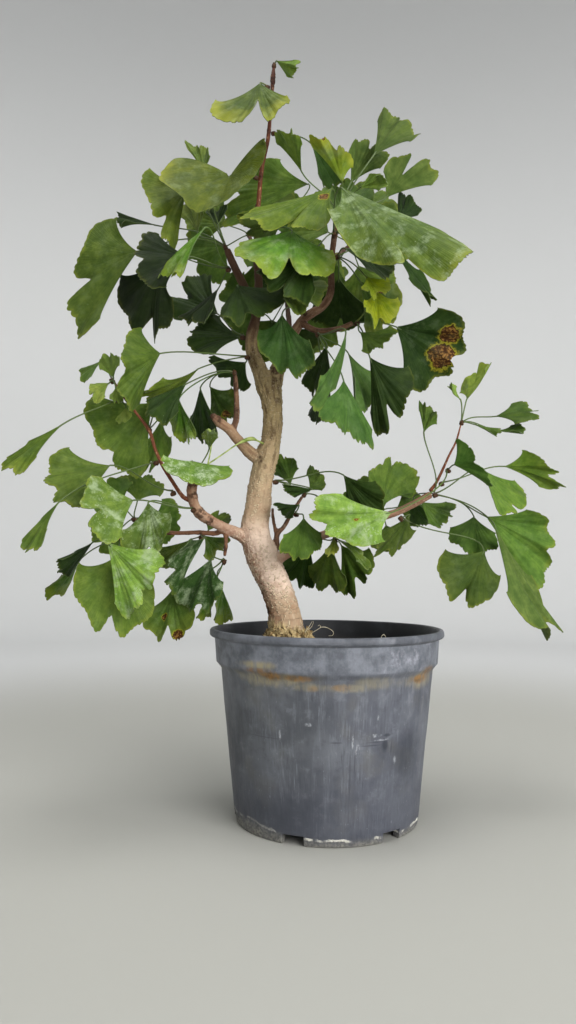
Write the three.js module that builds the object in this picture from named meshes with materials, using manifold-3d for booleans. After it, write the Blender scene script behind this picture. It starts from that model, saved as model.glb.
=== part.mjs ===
// A ginkgo grown as a small bonsai in a round plastic nursery pot.
//
// Units are millimetres and +Z is up. The origin is the middle of the pot's underside, on the surface it stands on,
// and the tree's front faces -Y.
//
// Wood and leaves are laid out from one viewpoint at the front, EYE. A point [x, z, y] of a layout list lies at
// depth y, on the sight line that crosses the plane y = 0 at (x, z). The function at() turns it into a real place.
// Each leaf is a fan between four such points. Every leaf is then moved a little along the sight lines, by one rule,
// until it is clear of the wood and of the leaves before it.
import * as THREE from "three";
import { mergeVertices } from "three/addons/utils/BufferGeometryUtils.js";
import Module from "manifold-3d";

const wasm = await Module();
wasm.setup();

// ---------------------------------------------------------------- driving dimensions

const EYE = new THREE.Vector3(-32, -632, 200);
const SEAT_GAP = 0.3; // between a piece and what carries it

const POT = {
  height: 150,
  rimRadius: 95,
  collarRadius: 91,
  collarFootRadius: 89.5,
  collarFoot: 124, // height of the collar's lower edge
  wallTopRadius: 85.5,
  wallFootRadius: 73,
  wall: 2,
  floor: 8, // underside of the raised floor
  floorThick: 2.5,
  padRadius: 22, // the middle pad that stands on the surface
  footWidth: 6,
  sides: 32,
};
const NOTCH = { count: 6, first: -22, width: 17, height: 7.5 }; // drain notches, first one in degrees from the front
const DRAIN = { count: 6, radius: 5, circle: 48 };
const SOIL = { edge: 131, mound: 142, moundRadius: 42, gap: 0.3, sides: 24 };

const LEAF = {
  thick: 0.8,
  growth: 1.07, // size of every blade against its row of LEAVES
  fullSpread: 140, // a fan narrower than this, in degrees, is spread a little
  flare: 0.75, // share of the fan's spread that it has at its base
  outlines: [[42, 0, 6], [75, 2, 8], [Infinity, 4, 8]], // up to a blade length: parts of its middle and of its margin
  petioleWidth: 1.5,
  knobRadius: 2.4,
};

// ---------------------------------------------------------------- layout

// Wood: each row is a stem of points [x, z, y, radius].
const WOOD = {
  trunk: [
    [[-33, 84, 0, 9], [-33, 110, 0, 12], [-33, 136, 0, 16.5], [-33, 148, 0, 14.6], [-35.5, 166, 0, 12.6],
     [-43, 186, 0, 12.8], [-52, 206, 0, 13.2], [-59, 228, 0, 11.8], [-57, 250, 0, 10.6], [-54, 274, 0, 9.9],
     [-50, 290, 0, 9.4], [-46.5, 305, 0, 8.2], [-45, 325, 0, 8.1], [-47, 345, 0, 9.4], [-49, 358, 0, 9.6]],
    [[-50, 346, 0, 8], [-57, 366, 2, 6.6], [-63, 380, 4, 5.7], [-63, 395, 4, 5.1], [-60, 410, 4, 4.3],
     [-58, 430, 5, 3.7], [-59, 460, 6, 3.2], [-60, 490, 6, 2.9], [-59, 508, 5, 2.7]],
    [[-46, 346, 0, 7.5], [-40, 370, 6, 6.2], [-32, 388, 10, 4.7], [-20, 408, 10, 4], [-2, 421, 8, 3.6],
     [3, 432, 6, 3], [3.5, 455, 6, 2.7], [6, 478, 4, 2.6], [9, 496, 2, 2.8]],
    [[-22, 405, 9, 3], [-8, 398, 2, 2.6], [10, 400, -2, 2.4], [22, 405, -4, 2.2]],
    [[-60, 412, 4, 3.8], [-68, 432, 0, 3.7], [-77, 450, -3, 3.5], [-85, 468, -5, 3.1]],
    [[-50, 287, 0, 6.5], [-62, 293, -3, 5.2], [-72, 303, -6, 4.4], [-82, 314, -9, 4], [-90, 320, -11, 3.9],
     [-96, 326, -12, 2.2]],
    [[-79, 312, -8, 2.8], [-75.5, 323, -7, 2.6], [-75.5, 336, -4, 2.4], [-76, 348, -4, 2.2], [-77, 360, -8, 1.9]],
    [[-60, 220, 0, 7.5], [-72, 226, -6, 5.2], [-85, 232, -12, 4.1], [-97, 238, -17, 3.8], [-105, 243, -20, 4.2],
     [-110, 252, -22, 3.9], [-112, 262, -23, 3.7], [-110, 271, -24, 3.5]],
    [[-86, 231, -12, 2.8], [-91, 227, -6, 2.3], [-105, 227.5, 0, 1.9], [-122, 227, 5, 1.7], [-145, 227, 6, 1.6],
     [-166, 224, 3, 1.5]],
    [[-84, 230, -11, 2], [-83, 218, -9, 1.6], [-84, 208, -8, 1.3]],
    [[-46, 203, 0, 7], [-36, 208.5, -5, 4.2], [-20, 218, -10, 3.6], [0, 227, -15, 3.4], [28, 236, -16, 3.2],
     [55, 244, -16, 3.1], [72, 252, -16, 3], [86, 260, -16, 3.1]],
    [[-46, 205, 2, 4], [-41.5, 216, 4, 2.8], [-41, 226, 6, 2.3], [-35, 233, 8, 1.9], [-29, 244, 10, 1.7],
     [-20, 258, 12, 1.4]],
    [[-41, 224, 6, 1.9], [-44, 238, 10, 1.5], [-45, 248, 14, 1.3]],
    [[-38, 376, 8, 4], [-32, 398, 36, 2.8], [-34, 424, 68, 2.2]],
    [[-59, 448, 6, 3], [-62, 466, 34, 2.4], [-66, 480, 60, 2]],
    [[3.7, 458, 6, 2.6], [12, 466, 26, 2], [19, 472, 44, 1.7]],
    [[-128, 227, 6, 1.7], [-145, 231, 28, 1.6], [-158, 238, 50, 1.5]],
    [[28, 236, -16, 2.6], [37, 240, 14, 2], [45, 246, 45, 1.6]],
  ],
  shoot_leader: [
    [[-59.3, 500, 5, 2.5], [-56, 540, 2, 2.3], [-51, 565, 0, 2.1], [-49, 590, 0, 2], [-47.5, 612, 0, 1.9],
     [-47, 621, 0, 2.5], [-46.5, 630, 0, 1.5]],
  ],
  shoot_left: [
    [[-113, 254, -22, 2.3], [-119, 257, -22, 2.1], [-127, 268, -21, 1.9], [-137, 284, -19, 1.9], [-143, 297, -17, 1.7],
     [-148, 312, -15, 1.8], [-160, 328, -14, 1.5], [-171, 342, -13, 1.5], [-178, 353, -12, 1.2]],
  ],
  shoot_right: [
    [[86, 263, -16, 2], [91, 270, -15, 1.7], [96, 280, -14, 1.6], [102, 293, -13, 1.4], [108, 305, -12, 1.3],
     [112, 319, -11, 1.1]],
  ],
};

// Short spurs, where the leaf stalks of one rosette meet: [x, z, y] of the bud's middle.
const SPURS = {
  apex: [-46.3, 632, 0],
  leader_high: [-50.6, 613, -1.5],
  leader_mid: [-46.5, 572, -1.5],
  leader_low: [-59.5, 532, 1],
  left_top: [-86, 470.5, -5.5],
  left_top_low: [-82, 452, -6],
  crown_tip: [9.5, 499, 1],
  crown_front: [6, 483, 0],
  crown_low: [8, 463, 3],
  stem_high: [-58, 482, 2.5],
  stem_high_back: [-60, 478, 10.2],
  stem_low: [-61, 421, 0],
  fork_bud: [-18, 413, 6],
  twig_bud: [-8, 396, -1],
  twig_end: [24.5, 405.5, -4.5],
  stem_back: [-60, 416, 9.2],
  left_stem: [-69.5, 393, 4],
  left_stem_low: [-66, 376, -2],
  left_mid: [-77.4, 363, -9],
  left_cut: [-98.5, 328, -12.5],
  left_tip: [-179.5, 355, -12],
  left_bud_d: [-172.5, 340, -14],
  left_bud_c: [-148.3, 314, -11.8],
  left_bud_b: [-140, 287, -19.5],
  left_bud_a: [-126, 262, -22.5],
  left_fork: [-110, 248, -25.5],
  left_stub: [-109.5, 274.5, -24.5],
  low_twig_end: [-168.5, 223.5, 3],
  low_twig_mid: [-103, 226.5, -2],
  low_twig_down: [-84.3, 205.5, -8],
  trunk_bud: [-43.5, 271, -2],
  right_back_tip: [-18.8, 260, 12.5],
  right_back_mid: [-27.5, 245, 9.5],
  branch_bud_a: [6, 226.5, -15],
  branch_bud_b: [38, 242.5, -14.5],
  branch_bud_c: [60, 243.2, -17.5],
  branch_end: [89, 260.5, -17],
  right_bud_a: [92.5, 270, -15.5],
  right_bud_b: [97.8, 282, -14.5],
  right_tip: [112.5, 321, -11],
  back_high: [-66.5, 482, 62.5],
  back_mid: [-34.2, 426, 70.5],
  back_crown: [19.5, 474, 46.5],
  back_left: [-159.5, 239, 52],
  back_right: [45.8, 247, 47.5],
};

// Leaves: [spur, blade base, middle of the margin, left corner, right corner, notch depth, look, and its own fan where
// it has one]. A folded leaf keeps its narrow spread, an open one is seen flat on, and a spare one is left out where it
// finds no free place.
const LEAVES = [
  ["apex", [-44, 636, -2], [-28, 628, -4], [-26, 634, -2], [-31, 621, -6], 0.1, "mid"],
  ["leader_high", [-58, 616, -8], [-61, 585, -26], [-103, 592, -14], [-33, 604, -10], 0.45, "fresh"],
  ["leader_mid", [-13, 561, 4], [4, 524, 10], [-4, 528, 12], [12, 532, 2], 0.1, "deep"],
  ["leader_low", [-83, 533, -12], [-99, 505, -34], [-146, 550, -26], [-49, 570, -12], 0.05, "gold", { flare: 1.3 }],
  ["left_top", [-120, 521, 0], [-143, 490, -14], [-159, 535, -8], [-131, 470, -6], 0.3, "fresh"],
  ["left_top", [-161, 466, -14], [-213, 436, -22], [-186, 504, -14], [-199, 391, -14], 0.25, "mid"],
  ["left_top", [-106, 536, 12], [-110, 559, 18], [-119, 559, 16], [-102, 555, 16], 0.1, "fresh"],
  ["left_top", [-93, 489, 4], [-95, 503, 8], [-103, 503, 6], [-87, 508, 6], 0.1, "deep"],
  ["left_top", [-110, 482, 8], [-117, 513, 14], [-126, 500, 12], [-108, 506, 12], 0.1, "fresh"],
  ["left_top", [-146, 489, 14], [-177, 493, 22], [-175, 498, 30], [-172, 488, 12], 0.1, "deep", { folded: true }],
  ["left_top_low", [-119, 462, -8], [-161, 457, -14], [-149, 483, -4], [-141, 431, -10], 0.15, "deep"],
  ["left_top_low", [-104, 487, -26], [-144, 430, -40], [-163, 431, -38], [-131, 429, -34], 0.2, "bright", { folded: true }],
  ["left_top_low", [-140, 458, 8], [-152, 395, 6], [-180, 440, 12], [-133, 420, 4], 0.25, "deep"],
  ["left_top_low", [-92, 434, -6], [-113, 406, -10], [-121, 410, -6], [-100, 409, -8], 0.15, "deep"],
  ["stem_low", [-76, 437, -14], [-66, 408, -30], [-88, 417, -18], [-34, 432, -22], 0.15, "deep"],
  ["left_stem", [-72, 392, 14], [-115, 393, 22], [-95, 412, 18], [-98, 375, 18], 0.1, "deep"],
  ["left_stem_low", [-68, 371, 20], [-84, 355, 26], [-99, 377, 24], [-66, 349, 22], 0.2, "deep"],
  ["left_stem_low", [-140, 378, -12], [-172, 362, -16], [-162, 402, -10], [-160, 325, -14], 0.1, "mid"],
  ["left_stem_low", [-108, 365, 2], [-150, 341, -4], [-146, 353, -6], [-129, 344, 2], 0.1, "fresh", { folded: true }],
  ["left_mid", [-118, 352, 10], [-148, 327, 8], [-142, 338, 4], [-128, 322, 12], 0.1, "deep"],
  ["left_mid", [-106, 349, 16], [-102, 304, 16], [-113, 318, 18], [-91, 317, 14], 0.1, "deep"],
  ["left_mid", [-98, 350, 26], [-82, 320, 30], [-96, 322, 28], [-77, 345, 28], 0.1, "spotted"],
  ["left_mid", [-124, 339, -6], [-117, 303, -10], [-133, 322, -8], [-113, 317, -6], 0.15, "bright"],
  ["left_tip", [-179, 357, -16], [-184, 377, -18], [-193, 366, -18], [-175, 370, -18], 0.15, "young"],
  ["left_tip", [-190, 371, 0], [-206, 357, 4], [-204, 365, 6], [-200, 354, 2], 0.15, "mid"],
  ["left_tip", [-183, 352, -20], [-197, 342, -24], [-196, 351, -22], [-188, 337, -22], 0.2, "young"],
  ["left_tip", [-177, 349, -24], [-176, 336, -27], [-181, 341, -26], [-171, 339, -26], 0.15, "young", { open: true }],
  ["left_bud_d", [-168, 332, -5], [-171, 319, -7], [-175, 323, -6], [-163, 325, -6], 0.1, "young", { open: true }],
  ["left_bud_d", [-221, 317, -24], [-266, 281, -30], [-257, 300, -34], [-249, 281, -26], 0.1, "fresh", { folded: true }],
  ["left_bud_c", [-146, 336, 10], [-181, 292, 16], [-199, 338, 12], [-153, 283, 18], 0.1, "mid"],
  ["left_bud_c", [-138, 322, 24], [-150, 277, 28], [-160, 292, 28], [-131, 302, 26], 0.25, "mid"],
  ["left_bud_b", [-222, 252, -34], [-248, 214, -40], [-243, 233, -42], [-232, 221, -36], 0.1, "mid", { folded: true }],
  ["left_bud_a", [-180, 283, -8], [-228, 262, -14], [-222, 295, -6], [-200, 253, -14], 0.1, "mid"],
  ["left_fork", [-160, 254, -34], [-198, 242, -44], [-192, 273, -36], [-174, 218, -46], 0.25, "dusty"],
  ["left_fork", [-148, 252, -40], [-146, 211, -56], [-169, 224, -52], [-129, 241, -46], 0.1, "dusty"],
  ["left_stub", [-112, 287, -38], [-108, 268, -58], [-144, 293, -44], [-72, 283, -44], 0.1, "dusty", { folded: true }],
  ["left_stub", [-98, 297, -28], [-97, 313, -30], [-103, 309, -26], [-91, 309, -32], 0.1, "young"],
  ["low_twig_end", [-172, 209, -6], [-178, 147, -14], [-211, 200, -8], [-136, 178, -10], 0.2, "mid"],
  ["low_twig_end", [-181, 219, -26], [-149, 177, -40], [-167, 163, -36], [-139, 206, -34], 0.1, "dusty"],
  ["low_twig_end", [-193, 219, 8], [-219, 197, 6], [-214, 208, 2], [-210, 194, 10], 0.1, "deep"],
  ["low_twig_end", [-204, 204, 16], [-228, 174, 16], [-222, 189, 12], [-211, 184, 20], 0.2, "bright"],
  ["low_twig_mid", [-113, 221, 10], [-141, 200, 10], [-143, 212, 6], [-129, 203, 14], 0.1, "mid"],
  ["low_twig_mid", [-98, 229, 12], [-88, 244, 20], [-101, 238, 18], [-80, 235, 18], 0.1, "mid"],
  ["low_twig_mid", [-101, 225, 6], [-89, 211, 12], [-97, 206, 10], [-81, 222, 12], 0.2, "bright"],
  ["low_twig_mid", [-101, 223, -26], [-129, 196, -32], [-117, 217, -34], [-124, 181, -30], 0.1, "dark_dusty"],
  ["low_twig_down", [-95, 206, -22], [-104, 165, -30], [-123, 181, -24], [-88, 182, -26], 0.1, "dark_dusty"],
  ["low_twig_down", [-126, 181, -8], [-130, 141, -14], [-149, 161, -10], [-107, 163, -12], 0.25, "spotted"],
  ["low_twig_down", [-90, 191, 2], [-86, 153, 2], [-91, 163, 0], [-79, 162, 6], 0.15, "bright"],
  ["low_twig_down", [-97, 176, 10], [-101, 157, 10], [-107, 160, 8], [-95, 162, 12], 0.1, "bright"],
  ["trunk_bud", [-30, 268, 12], [-42, 291, 22], [-45, 279, 14], [-24, 284, 22], 0.1, "mid"],
  ["trunk_bud", [14, 276, -14], [40, 243, -14], [20, 249, -18], [43, 267, -10], 0.1, "deep"],
  ["trunk_bud", [-12, 264, 2], [-33, 262, -2], [-32, 268, 2], [-24, 259, -2], 0.1, "deep"],
  ["right_back_tip", [-14, 263, 16], [-5, 277, 22], [-16, 280, 22], [-3, 264, 20], 0.1, "mid"],
  ["right_back_tip", [-9, 259, 8], [5, 247, 8], [5, 256, 6], [-3, 244, 10], 0.1, "deep"],
  ["right_back_mid", [-23, 251, 4], [-38, 245, 2], [-42, 251, 4], [-32, 240, 4], 0.1, "deep"],
  ["right_back_mid", [-19, 240, 4], [-22, 207, 0], [-37, 222, 4], [-2, 225, 2], 0.1, "mid"],
  ["branch_bud_a", [-14, 222, 16], [-26, 187, 18], [-37, 204, 20], [-12, 189, 18], 0.1, "deep"],
  ["branch_bud_a", [4, 219, 4], [2, 182, 4], [-15, 195, 8], [14, 187, 4], 0.1, "mid"],
  ["branch_bud_a", [12, 218, 12], [27, 183, 12], [14, 184, 16], [37, 208, 12], 0.25, "mid"],
  ["branch_bud_a", [6, 224, -22], [3, 209, -22], [0, 212, -22], [9, 213, -22], 0.1, "gold"],
  ["branch_bud_a", [10, 222, -26], [34, 203, -32], [28, 201, -28], [24, 215, -34], 0.1, "dusty"],
  ["branch_bud_b", [46, 250, 6], [56, 288, 14], [33, 268, 10], [78, 264, 12], 0.15, "mid"],
  ["branch_bud_b", [40, 247, -22], [26, 268, -24], [21, 261, -26], [33, 262, -20], 0.1, "bright"],
  ["branch_bud_c", [69, 243, -8], [49, 211, -12], [41, 227, -10], [69, 227, -10], 0.1, "mid"],
  ["branch_bud_c", [130, 214, -36], [110, 171, -42], [93, 214, -38], [144, 189, -38], 0.3, "mid"],
  ["branch_end", [78, 254, 4], [101, 240, 8], [103, 252, 8], [89, 235, 8], 0.1, "mid"],
  ["branch_end", [72, 257, 12], [78, 234, 16], [69, 240, 14], [87, 242, 16], 0.1, "deep"],
  ["branch_end", [81, 312, -8], [84, 335, -8], [79, 333, -10], [92, 324, -6], 0.1, "mid"],
  ["branch_end", [122, 242, -14], [122, 212, -20], [101, 231, -14], [141, 226, -16], 0.1, "deep"],
  ["branch_end", [132, 242, -4], [184, 214, 0], [172, 240, 2], [167, 188, -4], 0.1, "mid"],
  ["branch_end", [138, 237, -30], [184, 150, -36], [172, 180, -28], [158, 165, -42], 0.1, "mid", { folded: true }],
  ["branch_end", [130, 281, -26], [158, 248, -30], [163, 270, -24], [142, 251, -36], 0.15, "mid"],
  ["right_bud_a", [148, 284, -16], [193, 274, -20], [167, 299, -16], [183, 265, -18], 0.2, "fresh", { folded: true }],
  ["right_bud_b", [106, 285, -22], [126, 287, -30], [110, 309, -20], [138, 266, -32], 0.1, "deep"],
  ["right_bud_b", [54, 245, -42], [-4, 234, -48], [7, 259, -40], [41, 220, -52], 0.1, "dusty"],
  ["right_tip", [117, 340, -8], [126, 366, -8], [112, 350, -8], [136, 368, -8], 0.5, "fresh"],
  ["right_tip", [112, 340, -12], [103, 352, -12], [105, 348, -16], [106, 353, -8], 0.1, "young", { folded: true }],
  ["right_tip", [141, 326, -12], [175, 329, -14], [158, 337, -14], [161, 321, -10], 0.2, "mid"],
  ["right_tip", [124, 319, -18], [144, 313, -20], [143, 317, -24], [138, 311, -16], 0.1, "mid", { folded: true }],
  ["right_tip", [143, 314, -24], [165, 315, -28], [156, 321, -26], [158, 313, -32], 0.1, "mid", { folded: true }],
  ["crown_tip", [-22, 537, -8], [-35, 572, -8], [-44, 569, -10], [-26, 567, -4], 0.1, "mid"],
  ["crown_tip", [13, 527, -4], [6, 561, -6], [-14, 564, -4], [19, 548, -8], 0.15, "gold"],
  ["crown_tip", [20, 527, 8], [37, 562, 12], [22, 558, 12], [48, 546, 10], 0.2, "pale"],
  ["crown_tip", [40, 552, 0], [64, 582, 2], [47, 590, 4], [77, 568, 0], 0.1, "pale"],
  ["crown_tip", [50, 514, 10], [76, 549, 14], [56, 542, 12], [93, 530, 14], 0.4, "pale"],
  ["crown_tip", [28, 523, -6], [46, 534, -8], [34, 531, -8], [48, 520, -8], 0.1, "mid"],
  ["crown_front", [4, 522, -34], [-38, 488, -54], [-69, 501, -44], [-4, 496, -56], 0.45, "fresh"],
  ["crown_front", [12, 523, -38], [76, 453, -74], [13, 489, -56], [109, 481, -46], 0.3, "gloss"],
  ["crown_front", [60, 494, 8], [68, 516, 14], [62, 512, 12], [81, 500, 14], 0.1, "deep"],
  ["crown_front", [56, 471, 14], [88, 426, 18], [76, 438, 20], [83, 444, 16], 0.1, "deep", { folded: true }],
  ["stem_high", [-30, 485, -32], [-34, 445, -64], [-82, 476, -48], [10, 461, -44], 0.4, "bright"],
  ["stem_high", [-36, 497, -18], [-68, 486, -30], [-70, 500, -26], [-50, 477, -24], 0.1, "mid"],
  ["crown_low", [14, 470, -8], [54, 455, -14], [45, 465, -8], [40, 446, -14], 0.1, "deep"],
  ["crown_low", [25, 470, 8], [42, 470, 8], [40, 473, 6], [36, 468, 10], 0.1, "fresh"],
  ["crown_low", [33, 445, -26], [44, 428, -32], [31, 436, -30], [52, 440, -28], 0.15, "lime"],
  ["crown_low", [28, 441, 4], [50, 400, 2], [36, 398, 4], [62, 434, 4], 0.1, "spotted"],
  ["twig_end", [42, 434, -36], [46, 404, -42], [33, 424, -40], [61, 424, -38], 0.2, "lime"],
  ["twig_end", [58, 402, -18], [108, 374, -26], [102, 417, -20], [65, 351, -26], 0.1, "blotched"],
  ["twig_end", [28, 397, -6], [49, 388, -8], [57, 402, -4], [32, 382, -8], 0.1, "mid"],
  ["twig_end", [36, 376, -14], [55, 321, -18], [42, 322, -16], [72, 360, -14], 0.3, "deep"],
  ["fork_bud", [-38, 412, -32], [-32, 362, -40], [-60, 396, -38], [-11, 384, -38], 0.1, "cool"],
  ["fork_bud", [-40, 443, -16], [-14, 419, -26], [-32, 422, -24], [-1, 441, -22], 0.15, "mid"],
  ["twig_bud", [0, 386, 4], [-9, 343, 2], [-18, 360, 4], [4, 350, 0], 0.15, "deep"],
  ["twig_bud", [-2, 346, 8], [-9, 321, 8], [-14, 333, 8], [-2, 327, 8], 0.2, "deep"],
  ["twig_bud", [16, 396, -36], [-6, 335, -44], [-9, 352, -46], [8, 364, -38], 0.1, "cool"],
  ["twig_bud", [14, 356, -26], [20, 309, -34], [-4, 331, -32], [39, 305, -26], 0.1, "cool"],
  ["twig_bud", [18, 379, -18], [32, 332, -22], [23, 352, -24], [42, 360, -16], 0.1, "cool"],
  ["stem_back", [-48, 408, 22], [-26, 374, 28], [-50, 380, 26], [-8, 396, 28], 0.15, "deep", { spare: true }],
  ["left_stem", [-92, 412, 26], [-124, 432, 34], [-128, 412, 32], [-102, 446, 32], 0.2, "deep", { spare: true }],
  ["stem_high_back", [-16, 526, 12], [-80, 514, 14], [-52, 544, 16], [-77, 492, 10], 0.1, "mid", { spare: true }],
  ["stem_high_back", [-62, 472, 22], [-78, 430, 30], [-98, 456, 26], [-52, 430, 28], 0.15, "deep", { spare: true }],
  ["stem_high_back", [-42, 470, 18], [-30, 425, 26], [-54, 436, 24], [-4, 440, 24], 0.2, "deep", { spare: true }],
  ["crown_low", [10, 444, 22], [12, 402, 30], [-14, 414, 28], [38, 414, 28], 0.2, "deep", { spare: true }],
  ["crown_front", [-12, 466, -12], [-40, 432, -22], [-56, 452, -18], [-14, 426, -18], 0.2, "deep", { spare: true }],
];

// Rosettes at the back, filled by a rule: [spur, leaves, reach of a blade's tip from the spur, first angle].
const BACK_ROSETTES = [
  ["back_high", 6, 54, 20],
  ["back_mid", 6, 56, 50],
  ["back_crown", 6, 54, 100],
  ["back_left", 4, 38, 80],
  ["back_right", 4, 34, 10],
];
const GOLDEN_ANGLE = 137.5;

// ---------------------------------------------------------------- points and curves

// How far the branches run forwards or back with their distance from the trunk. Low down, the left side comes
// forwards and the right side goes back. In the crown it is the other way round.
function branchDepth(x, z) {
  const high = THREE.MathUtils.smoothstep(z, 350, 420);
  const left = Math.max(0, -70 - x) * THREE.MathUtils.lerp(-0.3, 0.25, high);
  const right = Math.max(0, x) * THREE.MathUtils.lerp(0.3, -0.2, high);
  return left + right;
}

// The real place of a layout point [x, z, y].
function at([x, z, y]) {
  const onPlane = new THREE.Vector3(x, 0, z);
  return onPlane.sub(EYE).multiplyScalar(1 - (y + branchDepth(x, z)) / EYE.y).add(EYE);
}

// A repeatable number from 0 to 1 for a leaf and a purpose.
function draw(index, purpose) {
  const mixed = Math.sin(index * 12.9898 + purpose * 78.233) * 43758.5453;
  return mixed - Math.floor(mixed);
}

// The rows of a back rosette, in the form of LEAVES.
function backRosette([spur, count, reach, first]) {
  const [x, z, y] = SPURS[spur];
  return Array.from({ length: count }, (_, i) => {
    const angle = THREE.MathUtils.degToRad(first + i * GOLDEN_ANGLE);
    const away = (radius, turn, back) =>
      [x + radius * Math.cos(angle + turn), z + radius * Math.sin(angle + turn), y + back];
    const back = 6 + 7 * (i % 3);
    return [spur, away(0.38 * reach, 0, back), away(reach, 0, back + 12), away(0.85 * reach, 0.75, back + 6),
      away(0.85 * reach, -0.75, back + 8), 0.15 + 0.1 * (i % 2), "mid", { open: true, spare: true }];
  });
}

// How far a blade's tip and corners lie in front of or behind its base, so that one that looks short or narrow is a
// blade of ordinary size seen at a slant.
function slant([spur, base, tip, left, right], index) {
  const length = Math.hypot(tip[0] - base[0], tip[1] - base[1]);
  const width = Math.hypot(right[0] - left[0], right[1] - left[1]);
  const whole = Math.min(48, 1.5 * length + 5);
  const hidden = (full, seen) => Math.sqrt(Math.max(0, full * full - seen * seen));
  const own = tip[2] - base[2];
  const forwards = own === 0 ? base[2] < SPURS[spur][2] : own < 0;
  return {
    tip: (forwards ? -1 : 1) * Math.max(0, 0.8 * hidden(whole, length) - Math.abs(own)),
    corner: (draw(index, 5) < 0.5 ? -0.3 : 0.3) * hidden(1.3 * whole, width),
  };
}

// A leaf row as real points, moved by shift along the sight lines.
function leafFrom([spur, base, tip, left, right, notch, look, own = {}], index, shift, size) {
  const moved = (p, depth = 0) => at([p[0], p[1], p[2] + shift + depth]);
  const origin = moved(base);
  const arm = (p, depth) => moved(p, depth).sub(origin).multiplyScalar(LEAF.growth * size);
  const depth = own.open ? { tip: 0, corner: 0 } : slant([spur, base, tip, left, right], index);
  const leaf = {
    spur, index, notch, look, flare: own.flare ?? LEAF.flare, origin,
    tip: arm(tip, depth.tip), left: arm(left, 0.6 * depth.tip + depth.corner), right: arm(right, 0.6 * depth.tip - depth.corner),
  };
  const spread = THREE.MathUtils.radToDeg(leaf.left.angleTo(leaf.right));
  const opening = own.folded ? 0 : 0.3 * Math.max(0, 1 - spread / LEAF.fullSpread);
  const across = leaf.right.clone().sub(leaf.left).multiplyScalar(opening);
  leaf.left.sub(across);
  leaf.right.add(across);
  leaf.length = leaf.tip.length();
  leaf.normal = leaf.tip.clone().cross(leaf.right.clone().sub(leaf.left)).normalize();
  return leaf;
}

// How far the margin reaches at t, from -1 at the left corner to 1 at the right one.
function margin(leaf, t) {
  const rounded = 1 - 0.12 * Math.abs(t) ** 6;
  const notched = 1 - leaf.notch * Math.exp(-((t / 0.12) ** 2));
  const waved = 1 - (0.015 + 0.025 * draw(leaf.index, 1)) * Math.cos(4 * Math.PI * t);
  return rounded * notched * waved;
}

// A point of the blade: s runs from 0 at its base to 1 at the margin, and t across it.
function bladePoint(leaf, s, t) {
  const u = t * (leaf.flare + (1 - leaf.flare) * s);
  const reach = s * (1 + (margin(leaf, t) - 1) * s);
  const rise = leaf.length * (0.22 * s * (1 - s) * (draw(leaf.index, 2) - 0.3)
    + 0.05 * s * s * Math.sin(2.5 * Math.PI * t + 6.3 * draw(leaf.index, 3)));
  return new THREE.Vector3()
    .addScaledVector(leaf.tip, (1 - u * u) * reach)
    .addScaledVector(leaf.left, ((u * u - u) / 2) * reach)
    .addScaledVector(leaf.right, ((u * u + u) / 2) * reach)
    .addScaledVector(leaf.normal, rise)
    .add(leaf.origin);
}

// The blade's stations (s, t), the triangles between them and its edge from one side of the base to the other.
function bladeMesh(leaf) {
  const [, middleCount, outerCount] = LEAF.outlines.find(([limit]) => leaf.length < limit);
  const row = (s, count) => Array.from({ length: count + 1 }, (_, i) => [s, -1 + (2 * i) / count]);
  const stations = [...row(0.04, 1), ...(middleCount ? row(0.5, middleCount) : []), ...row(1, outerCount)];
  const middle = 2;
  const outer = middleCount ? middle + middleCount + 1 : middle;
  const faces = [];
  const strip = (from, fromCount, to, toCount) => {
    for (let i = 0, j = 0; i < fromCount || j < toCount;) {
      if (j * fromCount <= i * toCount && j < toCount) faces.push([from + i, to + j, to + ++j]);
      else faces.push([from + i, to + j, from + ++i]);
    }
  };
  if (middleCount) {
    strip(0, 1, middle, middleCount);
    strip(middle, middleCount, outer, outerCount);
  } else strip(0, 1, outer, outerCount);
  const margins = Array.from({ length: outerCount + 1 }, (_, i) => outer + i);
  const edge = middleCount ? [0, middle, ...margins, middle + middleCount, 1] : [0, ...margins, 1];
  return { stations, faces, edge };
}

// The stalk's middle line: it leaves its spur away from the wood and runs into the blade along the blade's middle.
function petioleCurve(leaf) {
  const start = seatOf(leaf.spur);
  const chord = leaf.origin.clone().sub(start);
  const length = chord.length();
  const entry = leaf.tip.clone().normalize().multiplyScalar(0.6).addScaledVector(chord, 0.4 / length);
  const first = start.clone().addScaledVector(chord, 0.25).addScaledVector(woodBeside(start).out, 0.2 * length);
  const second = leaf.origin.clone().addScaledVector(entry, -0.35 * length);
  const lift = start.clone().addScaledVector(first.clone().sub(start).normalize(), 0.6 * LEAF.knobRadius);
  return new THREE.CubicBezierCurve3(lift, first, second, leaf.origin);
}

function petioleParts(curve) {
  const length = curve.getLength();
  return length < 30 ? 2 : length < 60 ? 3 : 4;
}

// ---------------------------------------------------------------- keeping leaves clear of each other

const CLEAR = {
  sample: 4, blade: 3.4, petiole: 3, stalks: 2.5, wood: 2, stalkWood: 1.4, bud: 6, spur: 7, steps: 24, step: 3, sizes: [1, 0.85, 0.7],
};

const woodSegments = Object.values(WOOD).flat().flatMap((stem) =>
  stem.slice(1).map((point, i) => {
    const [a, b] = [at(stem[i]), at(point)];
    const radius = Math.max(stem[i][3], point[3]);
    const box = new THREE.Box3().setFromPoints([a, b]).expandByScalar(radius);
    return { a, along: b.clone().sub(a), radii: [stem[i][3], point[3]], radius, box };
  }));

function nearestOnSegment(p, { a, along }) {
  const share = THREE.MathUtils.clamp(p.clone().sub(a).dot(along) / along.lengthSq(), 0, 1);
  return a.clone().addScaledVector(along, share);
}

const distanceToSegment = (p, segment) => nearestOnSegment(p, segment).distanceTo(p);

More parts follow.
